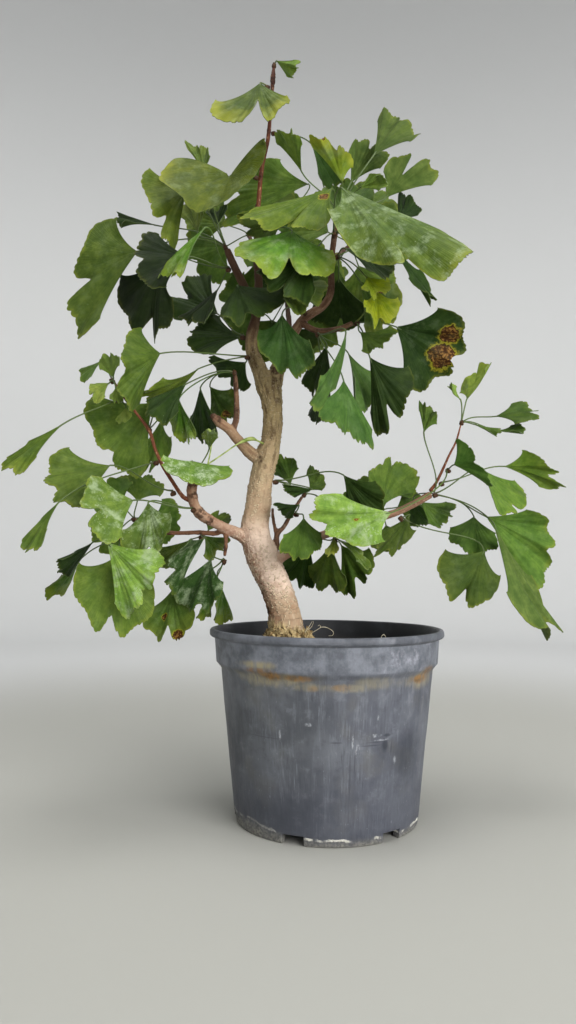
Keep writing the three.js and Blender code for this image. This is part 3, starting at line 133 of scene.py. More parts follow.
# Leaves, by their spur: each row is the blade's base, the middle of its margin, its left and its right corner as
# x, z and y, the notch's depth, the look, and words. A folded leaf keeps its narrow spread, an open one is seen flat
# on, and a spare one may be missing from its solid.
LEAVES = [
    ["apex", [-44, 636, -2, -28, 628, -4, -26, 634, -2, -31, 621, -6, 0.1, "mid"]],
    ["leader_high", [-58, 616, -8, -61, 585, -26, -103, 592, -14, -33, 604, -10, 0.45, "gold"]],
    ["leader_mid", [-13, 561, 4, 4, 524, 10, -4, 528, 12, 12, 532, 2, 0.1, "deep"]],
    ["leader_low", [-83, 533, -12, -99, 505, -34, -146, 550, -26, -49, 570, -12, 0.05, "gold"]],
    ["left_top", [-120, 521, 0, -143, 490, -14, -159, 535, -8, -131, 470, -6, 0.3, "fresh"],
     [-161, 466, -14, -213, 436, -22, -186, 504, -14, -199, 391, -14, 0.25, "mid"],
     [-106, 536, 12, -110, 559, 18, -119, 559, 16, -102, 555, 16, 0.1, "fresh"],
     [-93, 489, 4, -95, 503, 8, -103, 503, 6, -87, 508, 6, 0.1, "deep"],
     [-110, 482, 8, -117, 513, 14, -126, 500, 12, -108, 506, 12, 0.1, "fresh"],
     [-146, 489, 14, -177, 493, 22, -175, 498, 30, -172, 488, 12, 0.1, "deep", "folded"]],
    ["left_top_low", [-119, 462, -8, -161, 457, -14, -149, 483, -4, -141, 431, -10, 0.15, "deep"],
     [-104, 487, -26, -144, 430, -40, -163, 431, -38, -131, 429, -34, 0.2, "bright", "folded"],
     [-140, 458, 8, -152, 395, 6, -180, 440, 12, -133, 420, 4, 0.25, "deep"],
     [-92, 434, -6, -113, 406, -10, -121, 410, -6, -100, 409, -8, 0.15, "deep"]],
    ["stem_low", [-76, 437, -14, -66, 408, -30, -88, 417, -18, -34, 432, -22, 0.15, "deep"]],
    ["left_stem", [-72, 392, 14, -115, 393, 22, -95, 412, 18, -98, 375, 18, 0.1, "deep"]],
    ["left_stem_low", [-68, 371, 20, -84, 355, 26, -99, 377, 24, -66, 349, 22, 0.2, "deep"],
     [-140, 378, -12, -172, 362, -16, -162, 402, -10, -160, 325, -14, 0.1, "mid"],
     [-108, 365, 2, -150, 341, -4, -146, 353, -6, -129, 344, 2, 0.1, "fresh", "folded"]],
    ["left_mid", [-118, 352, 10, -148, 327, 8, -142, 338, 4, -128, 322, 12, 0.1, "deep"],
     [-106, 349, 16, -102, 304, 16, -113, 318, 18, -91, 317, 14, 0.1, "deep"],
     [-98, 350, 26, -82, 320, 30, -96, 322, 28, -77, 345, 28, 0.1, "spotted"],
     [-124, 339, -6, -117, 303, -10, -133, 322, -8, -113, 317, -6, 0.15, "bright"]],
    ["left_tip", [-179, 357, -16, -184, 377, -18, -193, 366, -18, -175, 370, -18, 0.15, "young"],
     [-190, 371, 0, -206, 357, 4, -204, 365, 6, -200, 354, 2, 0.15, "mid"],
     [-183, 352, -20, -197, 342, -24, -196, 351, -22, -188, 337, -22, 0.2, "young"],
     [-177, 349, -24, -176, 336, -27, -181, 341, -26, -171, 339, -26, 0.15, "young", "open"]],
    ["left_bud_d", [-168, 332, -5, -171, 319, -7, -175, 323, -6, -163, 325, -6, 0.1, "young", "open"],
     [-221, 317, -24, -266, 281, -30, -257, 300, -34, -249, 281, -26, 0.1, "fresh", "folded"]],
    ["left_bud_c", [-146, 336, 10, -181, 292, 16, -199, 338, 12, -153, 283, 18, 0.1, "mid"],
     [-138, 322, 24, -150, 277, 28, -160, 292, 28, -131, 302, 26, 0.25, "mid"]],
    ["left_bud_b", [-222, 252, -34, -248, 214, -40, -243, 233, -42, -232, 221, -36, 0.1, "mid", "folded"]],
    ["left_bud_a", [-180, 283, -8, -228, 262, -14, -222, 295, -6, -200, 253, -14, 0.1, "mid"]],
    ["left_fork", [-160, 254, -34, -198, 242, -44, -192, 273, -36, -174, 218, -46, 0.25, "dusty"],
     [-148, 252, -40, -146, 211, -56, -169, 224, -52, -129, 241, -46, 0.1, "dusty"]],
    ["left_stub", [-112, 287, -38, -108, 268, -58, -144, 293, -44, -72, 283, -44, 0.1, "dusty", "folded"],
     [-98, 297, -28, -97, 313, -30, -103, 309, -26, -91, 309, -32, 0.1, "young"]],
    ["low_twig_end", [-172, 209, -6, -178, 147, -14, -211, 200, -8, -136, 178, -10, 0.2, "mid"],
     [-181, 219, -26, -149, 177, -40, -167, 163, -36, -139, 206, -34, 0.1, "dusty"],
     [-193, 219, 8, -219, 197, 6, -214, 208, 2, -210, 194, 10, 0.1, "deep"],
     [-204, 204, 16, -228, 174, 16, -222, 189, 12, -211, 184, 20, 0.2, "bright"]],
    ["low_twig_mid", [-113, 221, 10, -141, 200, 10, -143, 212, 6, -129, 203, 14, 0.1, "mid"],
     [-98, 229, 12, -88, 244, 20, -101, 238, 18, -80, 235, 18, 0.1, "mid"],
     [-101, 225, 6, -89, 211, 12, -97, 206, 10, -81, 222, 12, 0.2, "bright"],
     [-101, 223, -26, -129, 196, -32, -117, 217, -34, -124, 181, -30, 0.1, "dark_dusty"]],
    ["low_twig_down", [-95, 206, -22, -104, 165, -30, -123, 181, -24, -88, 182, -26, 0.1, "dark_dusty"],
     [-126, 181, -8, -130, 141, -14, -149, 161, -10, -107, 163, -12, 0.25, "spotted"],
     [-90, 191, 2, -86, 153, 2, -91, 163, 0, -79, 162, 6, 0.15, "bright"],
     [-97, 176, 10, -101, 157, 10, -107, 160, 8, -95, 162, 12, 0.1, "bright"]],
    ["trunk_bud", [-30, 268, 12, -42, 291, 22, -45, 279, 14, -24, 284, 22, 0.1, "mid"],
     [14, 276, -14, 40, 243, -14, 20, 249, -18, 43, 267, -10, 0.1, "deep"],
     [-12, 264, 2, -33, 262, -2, -32, 268, 2, -24, 259, -2, 0.1, "deep"]],
    ["right_back_tip", [-14, 263, 16, -5, 277, 22, -16, 280, 22, -3, 264, 20, 0.1, "mid"],
     [-9, 259, 8, 5, 247, 8, 5, 256, 6, -3, 244, 10, 0.1, "deep"]],
    ["right_back_mid", [-23, 251, 4, -38, 245, 2, -42, 251, 4, -32, 240, 4, 0.1, "deep"],
     [-19, 240, 4, -22, 207, 0, -37, 222, 4, -2, 225, 2, 0.1, "mid"]],
    ["branch_bud_a", [-14, 222, 16, -26, 187, 18, -37, 204, 20, -12, 189, 18, 0.1, "deep"],
     [4, 219, 4, 2, 182, 4, -15, 195, 8, 14, 187, 4, 0.1, "mid"],
     [12, 218, 12, 27, 183, 12, 14, 184, 16, 37, 208, 12, 0.25, "mid"],
     [6, 224, -22, 3, 209, -22, 0, 212, -22, 9, 213, -22, 0.1, "gold"],
     [10, 222, -26, 34, 203, -32, 28, 201, -28, 24, 215, -34, 0.1, "dusty"]],
    ["branch_bud_b", [46, 250, 6, 56, 288, 14, 33, 268, 10, 78, 264, 12, 0.15, "mid"],
     [40, 247, -22, 26, 268, -24, 21, 261, -26, 33, 262, -20, 0.1, "bright"]],
    ["branch_bud_c", [69, 243, -8, 49, 211, -12, 41, 227, -10, 69, 227, -10, 0.1, "mid"],
     [130, 214, -36, 110, 171, -42, 93, 214, -38, 144, 189, -38, 0.3, "mid"]],
    ["branch_end", [78, 254, 4, 101, 240, 8, 103, 252, 8, 89, 235, 8, 0.1, "mid"],
     [72, 257, 12, 78, 234, 16, 69, 240, 14, 87, 242, 16, 0.1, "deep"],
     [81, 312, -8, 84, 335, -8, 79, 333, -10, 92, 324, -6, 0.1, "mid"],
     [122, 242, -14, 122, 212, -20, 101, 231, -14, 141, 226, -16, 0.1, "deep"],
     [132, 242, -4, 184, 214, 0, 172, 240, 2, 167, 188, -4, 0.1, "mid"],
     [138, 237, -30, 184, 150, -36, 172, 180, -28, 158, 165, -42, 0.1, "pale", "folded"],
     [130, 281, -26, 158, 248, -30, 163, 270, -24, 142, 251, -36, 0.15, "mid"]],
    ["right_bud_a", [148, 284, -16, 193, 274, -20, 167, 299, -16, 183, 265, -18, 0.2, "fresh", "folded"]],
    ["right_bud_b", [106, 285, -22, 126, 287, -30, 110, 309, -20, 138, 266, -32, 0.1, "deep"],
     [54, 245, -42, -4, 234, -48, 7, 259, -40, 41, 220, -52, 0.1, "dusty"]],
    ["right_tip", [117, 340, -8, 126, 366, -8, 112, 350, -8, 136, 368, -8, 0.5, "fresh"],
     [112, 340, -12, 103, 352, -12, 105, 348, -16, 106, 353, -8, 0.1, "young", "folded"],
     [141, 326, -12, 175, 329, -14, 158, 337, -14, 161, 321, -10, 0.2, "mid"],
     [124, 319, -18, 144, 313, -20, 143, 317, -24, 138, 311, -16, 0.1, "mid", "folded"],
     [143, 314, -24, 165, 315, -28, 156, 321, -26, 158, 313, -32, 0.1, "mid", "folded"]],
    ["crown_tip", [-22, 537, -8, -35, 572, -8, -44, 569, -10, -26, 567, -4, 0.1, "mid"],
     [13, 527, -4, 6, 561, -6, -14, 564, -4, 19, 548, -8, 0.15, "gold"],
     [20, 527, 8, 37, 562, 12, 22, 558, 12, 48, 546, 10, 0.2, "pale"],
     [40, 552, 0, 64, 582, 2, 47, 590, 4, 77, 568, 0, 0.1, "pale"],
     [50, 514, 10, 76, 549, 14, 56, 542, 12, 93, 530, 14, 0.4, "pale"],
     [28, 523, -6, 46, 534, -8, 34, 531, -8, 48, 520, -8, 0.1, "mid"]],
    ["crown_front", [4, 522, -34, -38, 488, -54, -69, 501, -44, -4, 496, -56, 0.45, "fresh"],
     [12, 523, -38, 76, 453, -74, 13, 489, -56, 109, 481, -46, 0.3, "gloss"],
     [60, 494, 8, 68, 516, 14, 62, 512, 12, 81, 500, 14, 0.1, "deep"],
     [56, 471, 14, 88, 426, 18, 76, 438, 20, 83, 444, 16, 0.1, "deep", "folded"]],
    ["stem_high", [-30, 485, -32, -34, 445, -64, -82, 476, -48, 10, 461, -44, 0.4, "bright"],
     [-36, 497, -18, -68, 486, -30, -70, 500, -26, -50, 477, -24, 0.1, "mid"]],
    ["crown_low", [14, 470, -8, 54, 455, -14, 45, 465, -8, 40, 446, -14, 0.1, "deep"],
     [25, 470, 8, 42, 470, 8, 40, 473, 6, 36, 468, 10, 0.1, "fresh"],
     [33, 445, -26, 44, 428, -32, 31, 436, -30, 52, 440, -28, 0.15, "lime"],
     [28, 441, 4, 50, 400, 2, 36, 398, 4, 62, 434, 4, 0.1, "spotted"]],
    ["twig_end", [42, 434, -36, 46, 404, -42, 33, 424, -40, 61, 424, -38, 0.2, "lime"],
     [58, 402, -18, 108, 374, -26, 102, 417, -20, 65, 351, -26, 0.1, "blotched"],
     [28, 397, -6, 49, 388, -8, 57, 402, -4, 32, 382, -8, 0.1, "mid"],
     [36, 376, -14, 55, 321, -18, 42, 322, -16, 72, 360, -14, 0.3, "deep"]],
    ["fork_bud", [-38, 412, -32, -32, 362, -40, -60, 396, -38, -11, 384, -38, 0.1, "cool"],
     [-40, 443, -16, -14, 419, -26, -32, 422, -24, -1, 441, -22, 0.15, "mid"]],
    ["twig_bud", [0, 386, 4, -9, 343, 2, -18, 360, 4, 4, 350, 0, 0.15, "deep"],
     [-2, 346, 8, -9, 321, 8, -14, 333, 8, -2, 327, 8, 0.2, "deep"],
     [16, 396, -36, -6, 335, -44, -9, 352, -46, 8, 364, -38, 0.1, "cool"],
     [14, 356, -26, 20, 309, -34, -4, 331, -32, 39, 305, -26, 0.1, "cool"],
     [18, 379, -18, 32, 332, -22, 23, 352, -24, 42, 360, -16, 0.1, "cool"]],
    ["stem_back", [-48, 408, 22, -26, 374, 28, -50, 380, 26, -8, 396, 28, 0.15, "deep", "spare"]],
    ["left_stem", [-92, 412, 26, -124, 432, 34, -128, 412, 32, -102, 446, 32, 0.2, "deep", "spare"]],
    ["stem_high_back", [-16, 526, 12, -80, 514, 14, -52, 544, 16, -77, 492, 10, 0.1, "mid", "spare"],
     [-62, 472, 22, -78, 430, 30, -98, 456, 26, -52, 430, 28, 0.15, "deep", "spare"],
     [-42, 470, 18, -30, 425, 26, -54, 436, 24, -4, 440, 24, 0.2, "deep", "spare"]],
    ["crown_low", [10, 444, 22, 12, 402, 30, -14, 414, 28, 38, 414, 28, 0.2, "deep", "spare"]],
    ["crown_front", [-12, 466, -12, -40, 432, -22, -56, 452, -18, -14, 426, -18, 0.2, "deep", "spare"]],
]

# Rosettes at the back, filled by a rule: [spur, leaves, reach of a blade's tip from the spur, first angle].
BACK_ROSETTES = [
    ["back_high", 6, 54, 20],
    ["back_mid", 6, 56, 50],
    ["back_crown", 6, 54, 100],
    ["back_left", 4, 38, 80],
    ["back_right", 4, 34, 10],
]

GOLDEN_ANGLE = 137.5  # degrees from one leaf of such a rosette to the next

LEAF = Sizes(thick=0.8, growth=1.07, full_spread=140.0, flare=0.75, knob_radius=2.4)
WIDE_ROSETTE, WIDE_FLARE = "leader_low", 1.3  # its one blade is wider near its base than at its margin
SHORT_BLADE = 42.0  # a shorter solid blade has 6 parts along its margin, a longer one 8

# The depths and sizes that a solid leaf may have been moved to, in the order they are tried.
TRIALS = Sizes(sizes=(1.0, 0.85, 0.7), steps=24, step=3.0)

POT = Sizes(
    height=150.0, rim_radius=95.0, collar_radius=91.0, collar_foot_radius=89.5, collar_foot=124.0,
    wall_top_radius=85.5, wall_foot_radius=73.0, wall=2.0, floor=8.0, floor_thick=2.5, pad_radius=22.0,
    foot_width=6.0,
)
NOTCH = Sizes(count=6, first=-22.0, width=17.0, height=7.5)
DRAIN = Sizes(count=6, radius=5.0, circle=48.0)
SOIL = Sizes(edge=131.0, mound=142.0, mound_radius=42.0, mound_top=16.0, shoulder=121.0, bottom=10.8)
TRUNK_FOOT = (-33.0, 0.0)


# ---------------- numbers and places


def smoothstep(value, low, high):
    share = np.clip((value - low) / (high - low), 0.0, 1.0)
    return share * share * (3.0 - 2.0 * share)


def lerp(low, high, share):
    return low + (high - low) * share


def unit(vector):
    return vector / np.linalg.norm(vector)


def draw(index, purpose):
    """A repeatable number from 0 to 1 for a leaf and a purpose."""
    mixed = sin(index * 12.9898 + purpose * 78.233) * 43758.5453
    return mixed % 1.0


def branch_depth(x, z):
    """How far the branches run forwards or back with their distance from the trunk."""
    high = smoothstep(z, 350.0, 420.0)
    left = max(0.0, -70.0 - x) * lerp(-0.3, 0.25, high)
    right = max(0.0, x) * lerp(0.3, -0.2, high)
    return left + right


def at(point):
    """The real place of a layout point [x, z, y], in millimetres."""
    x, z, y = point[:3]
    on_plane = np.array([x, 0.0, z])
    return EYE + (on_plane - EYE) * (1.0 - (y + branch_depth(x, z)) / EYE[1])


def noise_at(x, y=0.0, z=0.0):
    return mathutils_noise.noise(Vector((x, y, z)))


# ---------------- leaves as numbers


def leaf_rows():
    """Every leaf as its spur and a row of LEAVES. A leaf's number here is also the seed of its chances."""
    rows = [(spur, row) for spur, *own in LEAVES for row in own]
    for rule in BACK_ROSETTES:
        rows += [(rule[0], row) for row in back_rosette(*rule)]
    return rows


def back_rosette(spur, count, reach, first):
    """The rows of a back rosette."""
    x, z, y = SPURS[spur]
    rows = []
    for i in range(count):
        angle = radians(first + i * GOLDEN_ANGLE)

        def away(radius, turn, back):
            return [x + radius * cos(angle + turn), z + radius * sin(angle + turn), y + back]

        back = 6 + 7 * (i % 3)
        rows.append([
            *away(0.38 * reach, 0, back), *away(reach, 0, back + 12), *away(0.85 * reach, 0.75, back + 6),
            *away(0.85 * reach, -0.75, back + 8), 0.15 + 0.1 * (i % 2), "mid", "open", "spare",
        ])
    return rows


def slant(spur, base, tip, left, right, index):
    """How far a blade's tip and corners lie in front of or behind its base."""
    length = hypot(tip[0] - base[0], tip[1] - base[1])
    width = hypot(right[0] - left[0], right[1] - left[1])
    whole = min(48.0, 1.5 * length + 5.0)

    def hidden(full, seen):
        return sqrt(max(0.0, full * full - seen * seen))

    own = tip[2] - base[2]
    forwards = base[2] < SPURS[spur][2] if own == 0 else own < 0
    depth = (-1 if forwards else 1) * max(0.0, 0.8 * hidden(whole, length) - abs(own))
    return depth, (-0.3 if draw(index, 5) < 0.5 else 0.3) * hidden(1.3 * whole, width)


class Leaf:
    """One leaf of a row of LEAVES, moved by shift along the sight lines and made size times as large."""

    def __init__(self, spur, row, index, shift, size):
        base, tip, left, right = (row[k:k + 3] for k in (0, 3, 6, 9))
        notch, look, *words = row[12:]

        def moved(place, depth=0.0):
            return at([place[0], place[1], place[2] + shift + depth])

        origin = moved(base)

        def arm(place, depth):
            return (moved(place, depth) - origin) * LEAF.growth * size

        depth, corner = (0.0, 0.0) if "open" in words else slant(spur, base, tip, left, right, index)
        self.spur, self.index, self.notch, self.look, self.origin = spur, index, notch, look, origin
        self.flare = WIDE_FLARE if spur == WIDE_ROSETTE else LEAF.flare
        self.tip = arm(tip, depth)
        self.left = arm(left, 0.6 * depth + corner)
        self.right = arm(right, 0.6 * depth - corner)
        cosine = float(np.dot(unit(self.left), unit(self.right)))
        spread = degrees(acos(max(-1.0, min(1.0, cosine))))
        opening = 0.0 if "folded" in words else 0.3 * max(0.0, 1.0 - spread / LEAF.full_spread)
        across = (self.right - self.left) * opening
        self.left = self.left - across
        self.right = self.right + across
        self.length = float(np.linalg.norm(self.tip))
        self.normal = unit(np.cross(self.tip, self.right - self.left))

    def margin(self, t):
        """How far the margin reaches at t, from -1 at the left corner to 1 at the right one."""
        rounded = 1.0 - 0.12 * np.abs(t) ** 6
        notched = 1.0 - self.notch * np.exp(-((t / 0.12) ** 2))
        waved = 1.0 - (0.015 + 0.025 * draw(self.index, 1)) * np.cos(4.0 * pi * t)
        return rounded * notched * waved

    def points(self, s, t, edge=0.0, lift=0.0):
        """Places of the blade: s runs from 0 at its base to 1 at the margin, and t across it."""
        u = t * (self.flare + (1.0 - self.flare) * s)
        reach = s * (1.0 + (self.margin(t) - 1.0) * s) * (1.0 + edge)
        rise = self.length * (
            0.22 * s * (1.0 - s) * (draw(self.index, 2) - 0.3)
            + 0.05 * s * s * np.sin(2.5 * pi * t + 6.3 * draw(self.index, 3))
        ) + lift
        shares = np.stack([(1.0 - u * u) * reach, (u * u - u) / 2.0 * reach, (u * u + u) / 2.0 * reach, rise], axis=-1)
        return shares @ np.stack([self.tip, self.left, self.right, self.normal]) + self.origin


def settled_leaf(spur, row, index, solid):
    """The leaf at the depth and size that its solid has, or None where the solid has no such leaf.

    solid finds the nearest vertex of the rosette's solid, whose blades are LEAF thick.
    """
    for size in TRIALS.sizes:
        for k in range(TRIALS.steps + 1):
            shift = TRIALS.step * ((k + 1) / 2 if k % 2 else -k / 2)
            leaf = Leaf(spur, row, index, shift, size)
            t = np.linspace(-1.0, 1.0, 7 if leaf.length < SHORT_BLADE else 9)
            gaps = [abs(solid.find(place)[2] - LEAF.thick / 2) for place in leaf.points(np.ones_like(t), t)]
            if np.median(gaps) < 0.03:
                return leaf
    return None


# ---------------- wood as numbers


def resampled(rows, spacing):
    """A smooth path through the real places of a stem's rows: places, radii, in millimetres."""
    knots = np.array([at(row) for row in rows])
    radii = np.array([row[3] for row in rows], float)
    gaps = np.linalg.norm(np.diff(knots, axis=0), axis=1)
    run = np.concatenate([[0.0], np.cumsum(gaps)])
    slopes = np.empty_like(knots)
    slopes[1:-1] = (knots[2:] - knots[:-2]) / (run[2:] - run[:-2])[:, None]
    slopes[0] = (knots[1] - knots[0]) / gaps[0]
    slopes[-1] = (knots[-1] - knots[-2]) / gaps[-1]
    places, widths = [], []
    for i, gap in enumerate(gaps):
        for share in np.arange(0.0, 1.0, 1.0 / max(1, ceil(gap / spacing))):
            cube, square = share**3, share**2
            places.append(
                (2 * cube - 3 * square + 1) * knots[i] + (cube - 2 * square + share) * gap * slopes[i]
                + (3 * square - 2 * cube) * knots[i + 1] + (cube - square) * gap * slopes[i + 1]
            )
            widths.append(lerp(radii[i], radii[i + 1], smoothstep(share, 0.0, 1.0)))
    return np.array([*places, knots[-1]]), np.array([*widths, radii[-1]])


class Stems:
    """All stems of some wood as short straight segments, for asking what a place lies beside."""

    def __init__(self, names, spacing=5.0):
        starts, ends, radii, runs, sides = [], [], [], [], []
        offset = 0.0
        for rows in (stem for name in names for stem in WOOD[name]):
            places, widths = resampled(rows, spacing)
            side = np.array([0.31, 1.0, 0.17])
            frames = []
            for i in range(len(places)):
                along = unit(places[min(i + 1, len(places) - 1)] - places[max(i - 1, 0)])
                side = unit(side - along * np.dot(side, along))
                frames.append(side)
            lengths = np.linalg.norm(np.diff(places, axis=0), axis=1)
            run = offset + np.concatenate([[0.0], np.cumsum(lengths)])
            starts.append(places[:-1]), ends.append(places[1:])
            radii.append(np.stack([widths[:-1], widths[1:]], axis=1))
            runs.append(np.stack([run[:-1], run[1:]], axis=1))
            sides.append(np.array(frames[:-1]))
            offset = run[-1] + 173.0
        self.start, self.end = np.concatenate(starts), np.concatenate(ends)
        self.radii, self.runs, self.sides = np.concatenate(radii), np.concatenate(runs), np.concatenate(sides)
        self.along = self.end - self.start
        self.square = np.sum(self.along**2, axis=1)

    def beside(self, places):
        """For each place: the local radius, and its place in a stem pulled straight (x, y across, z along)."""
        radius, straight = np.empty(len(places)), np.empty((len(places), 3))
        for low in range(0, len(places), 4000):
            some = places[low : low + 4000]
            offset = some[:, None, :] - self.start[None]
            share = np.clip(np.einsum("psk,sk->ps", offset, self.along) / self.square, 0.0, 1.0)
            gap = np.linalg.norm(offset - share[..., None] * self.along, axis=2)
            width = lerp(self.radii[:, 0], self.radii[:, 1], share)
            best = np.argmin(gap - width, axis=1)
            rows = np.arange(len(some))
            share, along = share[rows, best], self.along[best]
            axis = along / np.linalg.norm(along, axis=1)[:, None]
            out = offset[rows, best] - share[:, None] * along
            side = self.sides[best]
            up = np.cross(axis, side)
            part = slice(low, low + len(some))
            radius[part] = width[rows, best]
            straight[part] = np.stack([
                np.sum(out * side, axis=1), np.sum(out * up, axis=1),
                lerp(self.runs[best, 0], self.runs[best, 1], share),
            ], axis=1)
        return radius, straight


def segment_rows():
    """The solid wood's straight segments: start, end and the two radii."""
    for stems in WOOD.values():
        for rows in stems:
            for one, other in zip(rows, rows[1:]):
                yield at(one), at(other), (one[3], other[3])


SEGMENTS = list(segment_rows())


def wood_beside(place):
    """The segment of the wood that a place lies beside, the nearest point of its middle line, and the way out."""
    best = None
    for start, end, radii in SEGMENTS:
        along = end - start
        share = min(max(float(np.dot(place - start, along) / np.dot(along, along)), 0.0), 1.0)
        foot = start + along * share
        gap = float(np.linalg.norm(place - foot)) - max(radii)
        if best is None or gap < best[0]:
            best = (gap, along, share, foot, radii)
    _, along, share, foot, radii = best
    return along, share, foot, radii, unit(place - foot)


def seat_of(spur):
    """The middle of a spur's bud, seated on the wood, and the way out of the wood there."""
    along, share, foot, radii, out = wood_beside(at(SPURS[spur]))
    sideways = float(np.linalg.norm(np.cross(out, unit(along))))
    return foot + out * (0.93 * lerp(radii[0], radii[1], share) * sideways + 1.0), out


def stalk_path(leaf, count):
    """Places along a leaf's stalk, from its bud into the base of its blade."""
    start, _ = seat_of(leaf.spur)
    out = wood_beside(start)[4]
    chord = leaf.origin - start
    length = float(np.linalg.norm(chord))
    entry = 0.6 * unit(leaf.tip) + 0.4 * chord / length
    first = start + 0.25 * chord + 0.2 * length * out
    second = leaf.origin - 0.35 * length * entry
    lift = start + 0.6 * LEAF.knob_radius * unit(first - start)
    t = np.linspace(0.0, 1.0, count)[:, None]
    curve = (1 - t) ** 3 * lift + 3 * (1 - t) ** 2 * t * first + 3 * (1 - t) * t**2 * second + t**3 * leaf.origin
    return np.concatenate([curve, leaf.points(np.array([0.05, 0.09]), np.zeros(2))])


# ---------------- working in Blender


def deselect():
    if bpy.context.mode != "OBJECT":
        bpy.ops.object.mode_set(mode="OBJECT")
    bpy.ops.object.select_all(action="DESELECT")


def select(*objects):
    deselect()
    for one in objects:
        one.select_set(True)
    bpy.context.view_layer.objects.active = objects[0]


def edit(obj, kind="FACE", selected=True):
    select(obj)
    bpy.ops.object.mode_set(mode="EDIT")
    bpy.ops.mesh.select_mode(type=kind)
    bpy.ops.mesh.select_all(action="SELECT" if selected else "DESELECT")


def edit_rim(obj):
    """Selects the open edges of a mesh in edit mode."""
    edit(obj, "EDGE", False)
    bpy.ops.mesh.select_non_manifold(extend=False)


def new_primitive(add, name, **settings):
    deselect()
    add(**settings)
    obj = bpy.context.object
    obj.name = obj.data.name = name
    return obj


def copy_of(template, name):
    obj = template.copy()
    obj.data = template.data.copy()
    obj.name = obj.data.name = name
    bpy.context.scene.collection.objects.link(obj)
    return obj


def join(objects, name):
    select(*objects)
    if len(objects) > 1:
        bpy.ops.object.join()
    joined = bpy.context.object
    joined.name = joined.data.name = name
    return joined


def apply_modifier(obj, kind, **settings):
    select(obj)
    modifier = obj.modifiers.new("shaping", kind)
    for key, value in settings.items():
        setattr(modifier, key, value)
    bpy.ops.object.modifier_apply(modifier=modifier.name)


def vertices_of(obj, field="co"):
    flat = np.empty(len(obj.data.vertices) * 3, np.float32)
    obj.data.vertices.foreach_get(field, flat)
    return flat.reshape(-1, 3).astype(float)


def places_of(obj):
    """The vertices' places in millimetres."""
    return vertices_of(obj) / MM


def put_places(obj, places):
    obj.data.vertices.foreach_set("co", (np.asarray(places) * MM).astype(np.float32).ravel())
    obj.data.update()


def put_attribute(obj, name, values, kind="FLOAT_COLOR", field="color", width=4):
    """Keeps numbers for each vertex, or the same for all, under a name that materials read."""
    rows = np.empty((len(obj.data.vertices), width), np.float32)
    rows[:] = values
    obj.data.attributes.new(name, kind, "POINT").data.foreach_set(field, rows.ravel())


def put_materials(obj, *materials):
    obj.data.materials.clear()
    for one in materials:
        obj.data.materials.append(one)


def smooth(obj, angle=None):
    select(obj)
    if angle is None:
        bpy.ops.object.shade_smooth()
    else:
        bpy.ops.object.shade_smooth_by_angle(angle=radians(angle))


def drop(*objects):
    for obj in objects:
        bpy.data.objects.remove(obj, do_unlink=True)


def extrude(rise, share=1.0):
    """Extrudes what is selected upwards, in metres, and widens or narrows it about the Z axis."""
    bpy.ops.mesh.extrude_region_move(TRANSFORM_OT_translate={"value": (0.0, 0.0, rise)})
    if share != 1.0:
        bpy.ops.transform.resize(value=(share, share, 1.0), center_override=(0.0, 0.0, 0.0))


def close_edit():
    """Turns all faces outwards and leaves edit mode."""
    bpy.ops.mesh.select_all(action="SELECT")
    bpy.ops.mesh.normals_make_consistent(inside=False)
    bpy.ops.object.mode_set(mode="OBJECT")


def tube(name, places, radii, sides=12):
    """A round closed tube through places, both in millimetres."""
    obj = new_primitive(bpy.ops.curve.primitive_nurbs_path_add, name)
    curve = obj.data
    curve.splines.clear()
    spline = curve.splines.new("POLY")
    spline.points.add(len(places) - 1)
    for point, place, radius in zip(spline.points, places, radii):
        point.co = (*(np.asarray(place) * MM), 1.0)
        point.radius = radius * MM
    curve.dimensions = "3D"
    curve.bevel_depth = 1.0
    curve.bevel_resolution = max(0, sides // 2 - 2)
    curve.use_fill_caps = True
    select(obj)
    bpy.ops.object.convert(target="MESH")
    obj = bpy.context.object
    obj.name = obj.data.name = name
    edit(obj, "VERT")
    bpy.ops.mesh.remove_doubles(threshold=1e-6)
    close_edit()
    return obj


def ridden(obj, slot, *nodes):
    """Puts a finished piece on the plant's one body, in place of the solids it stands for."""
    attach(obj, "root")
    if nodes:
        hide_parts(*nodes)
    return obj


# ---------------- nodes of materials


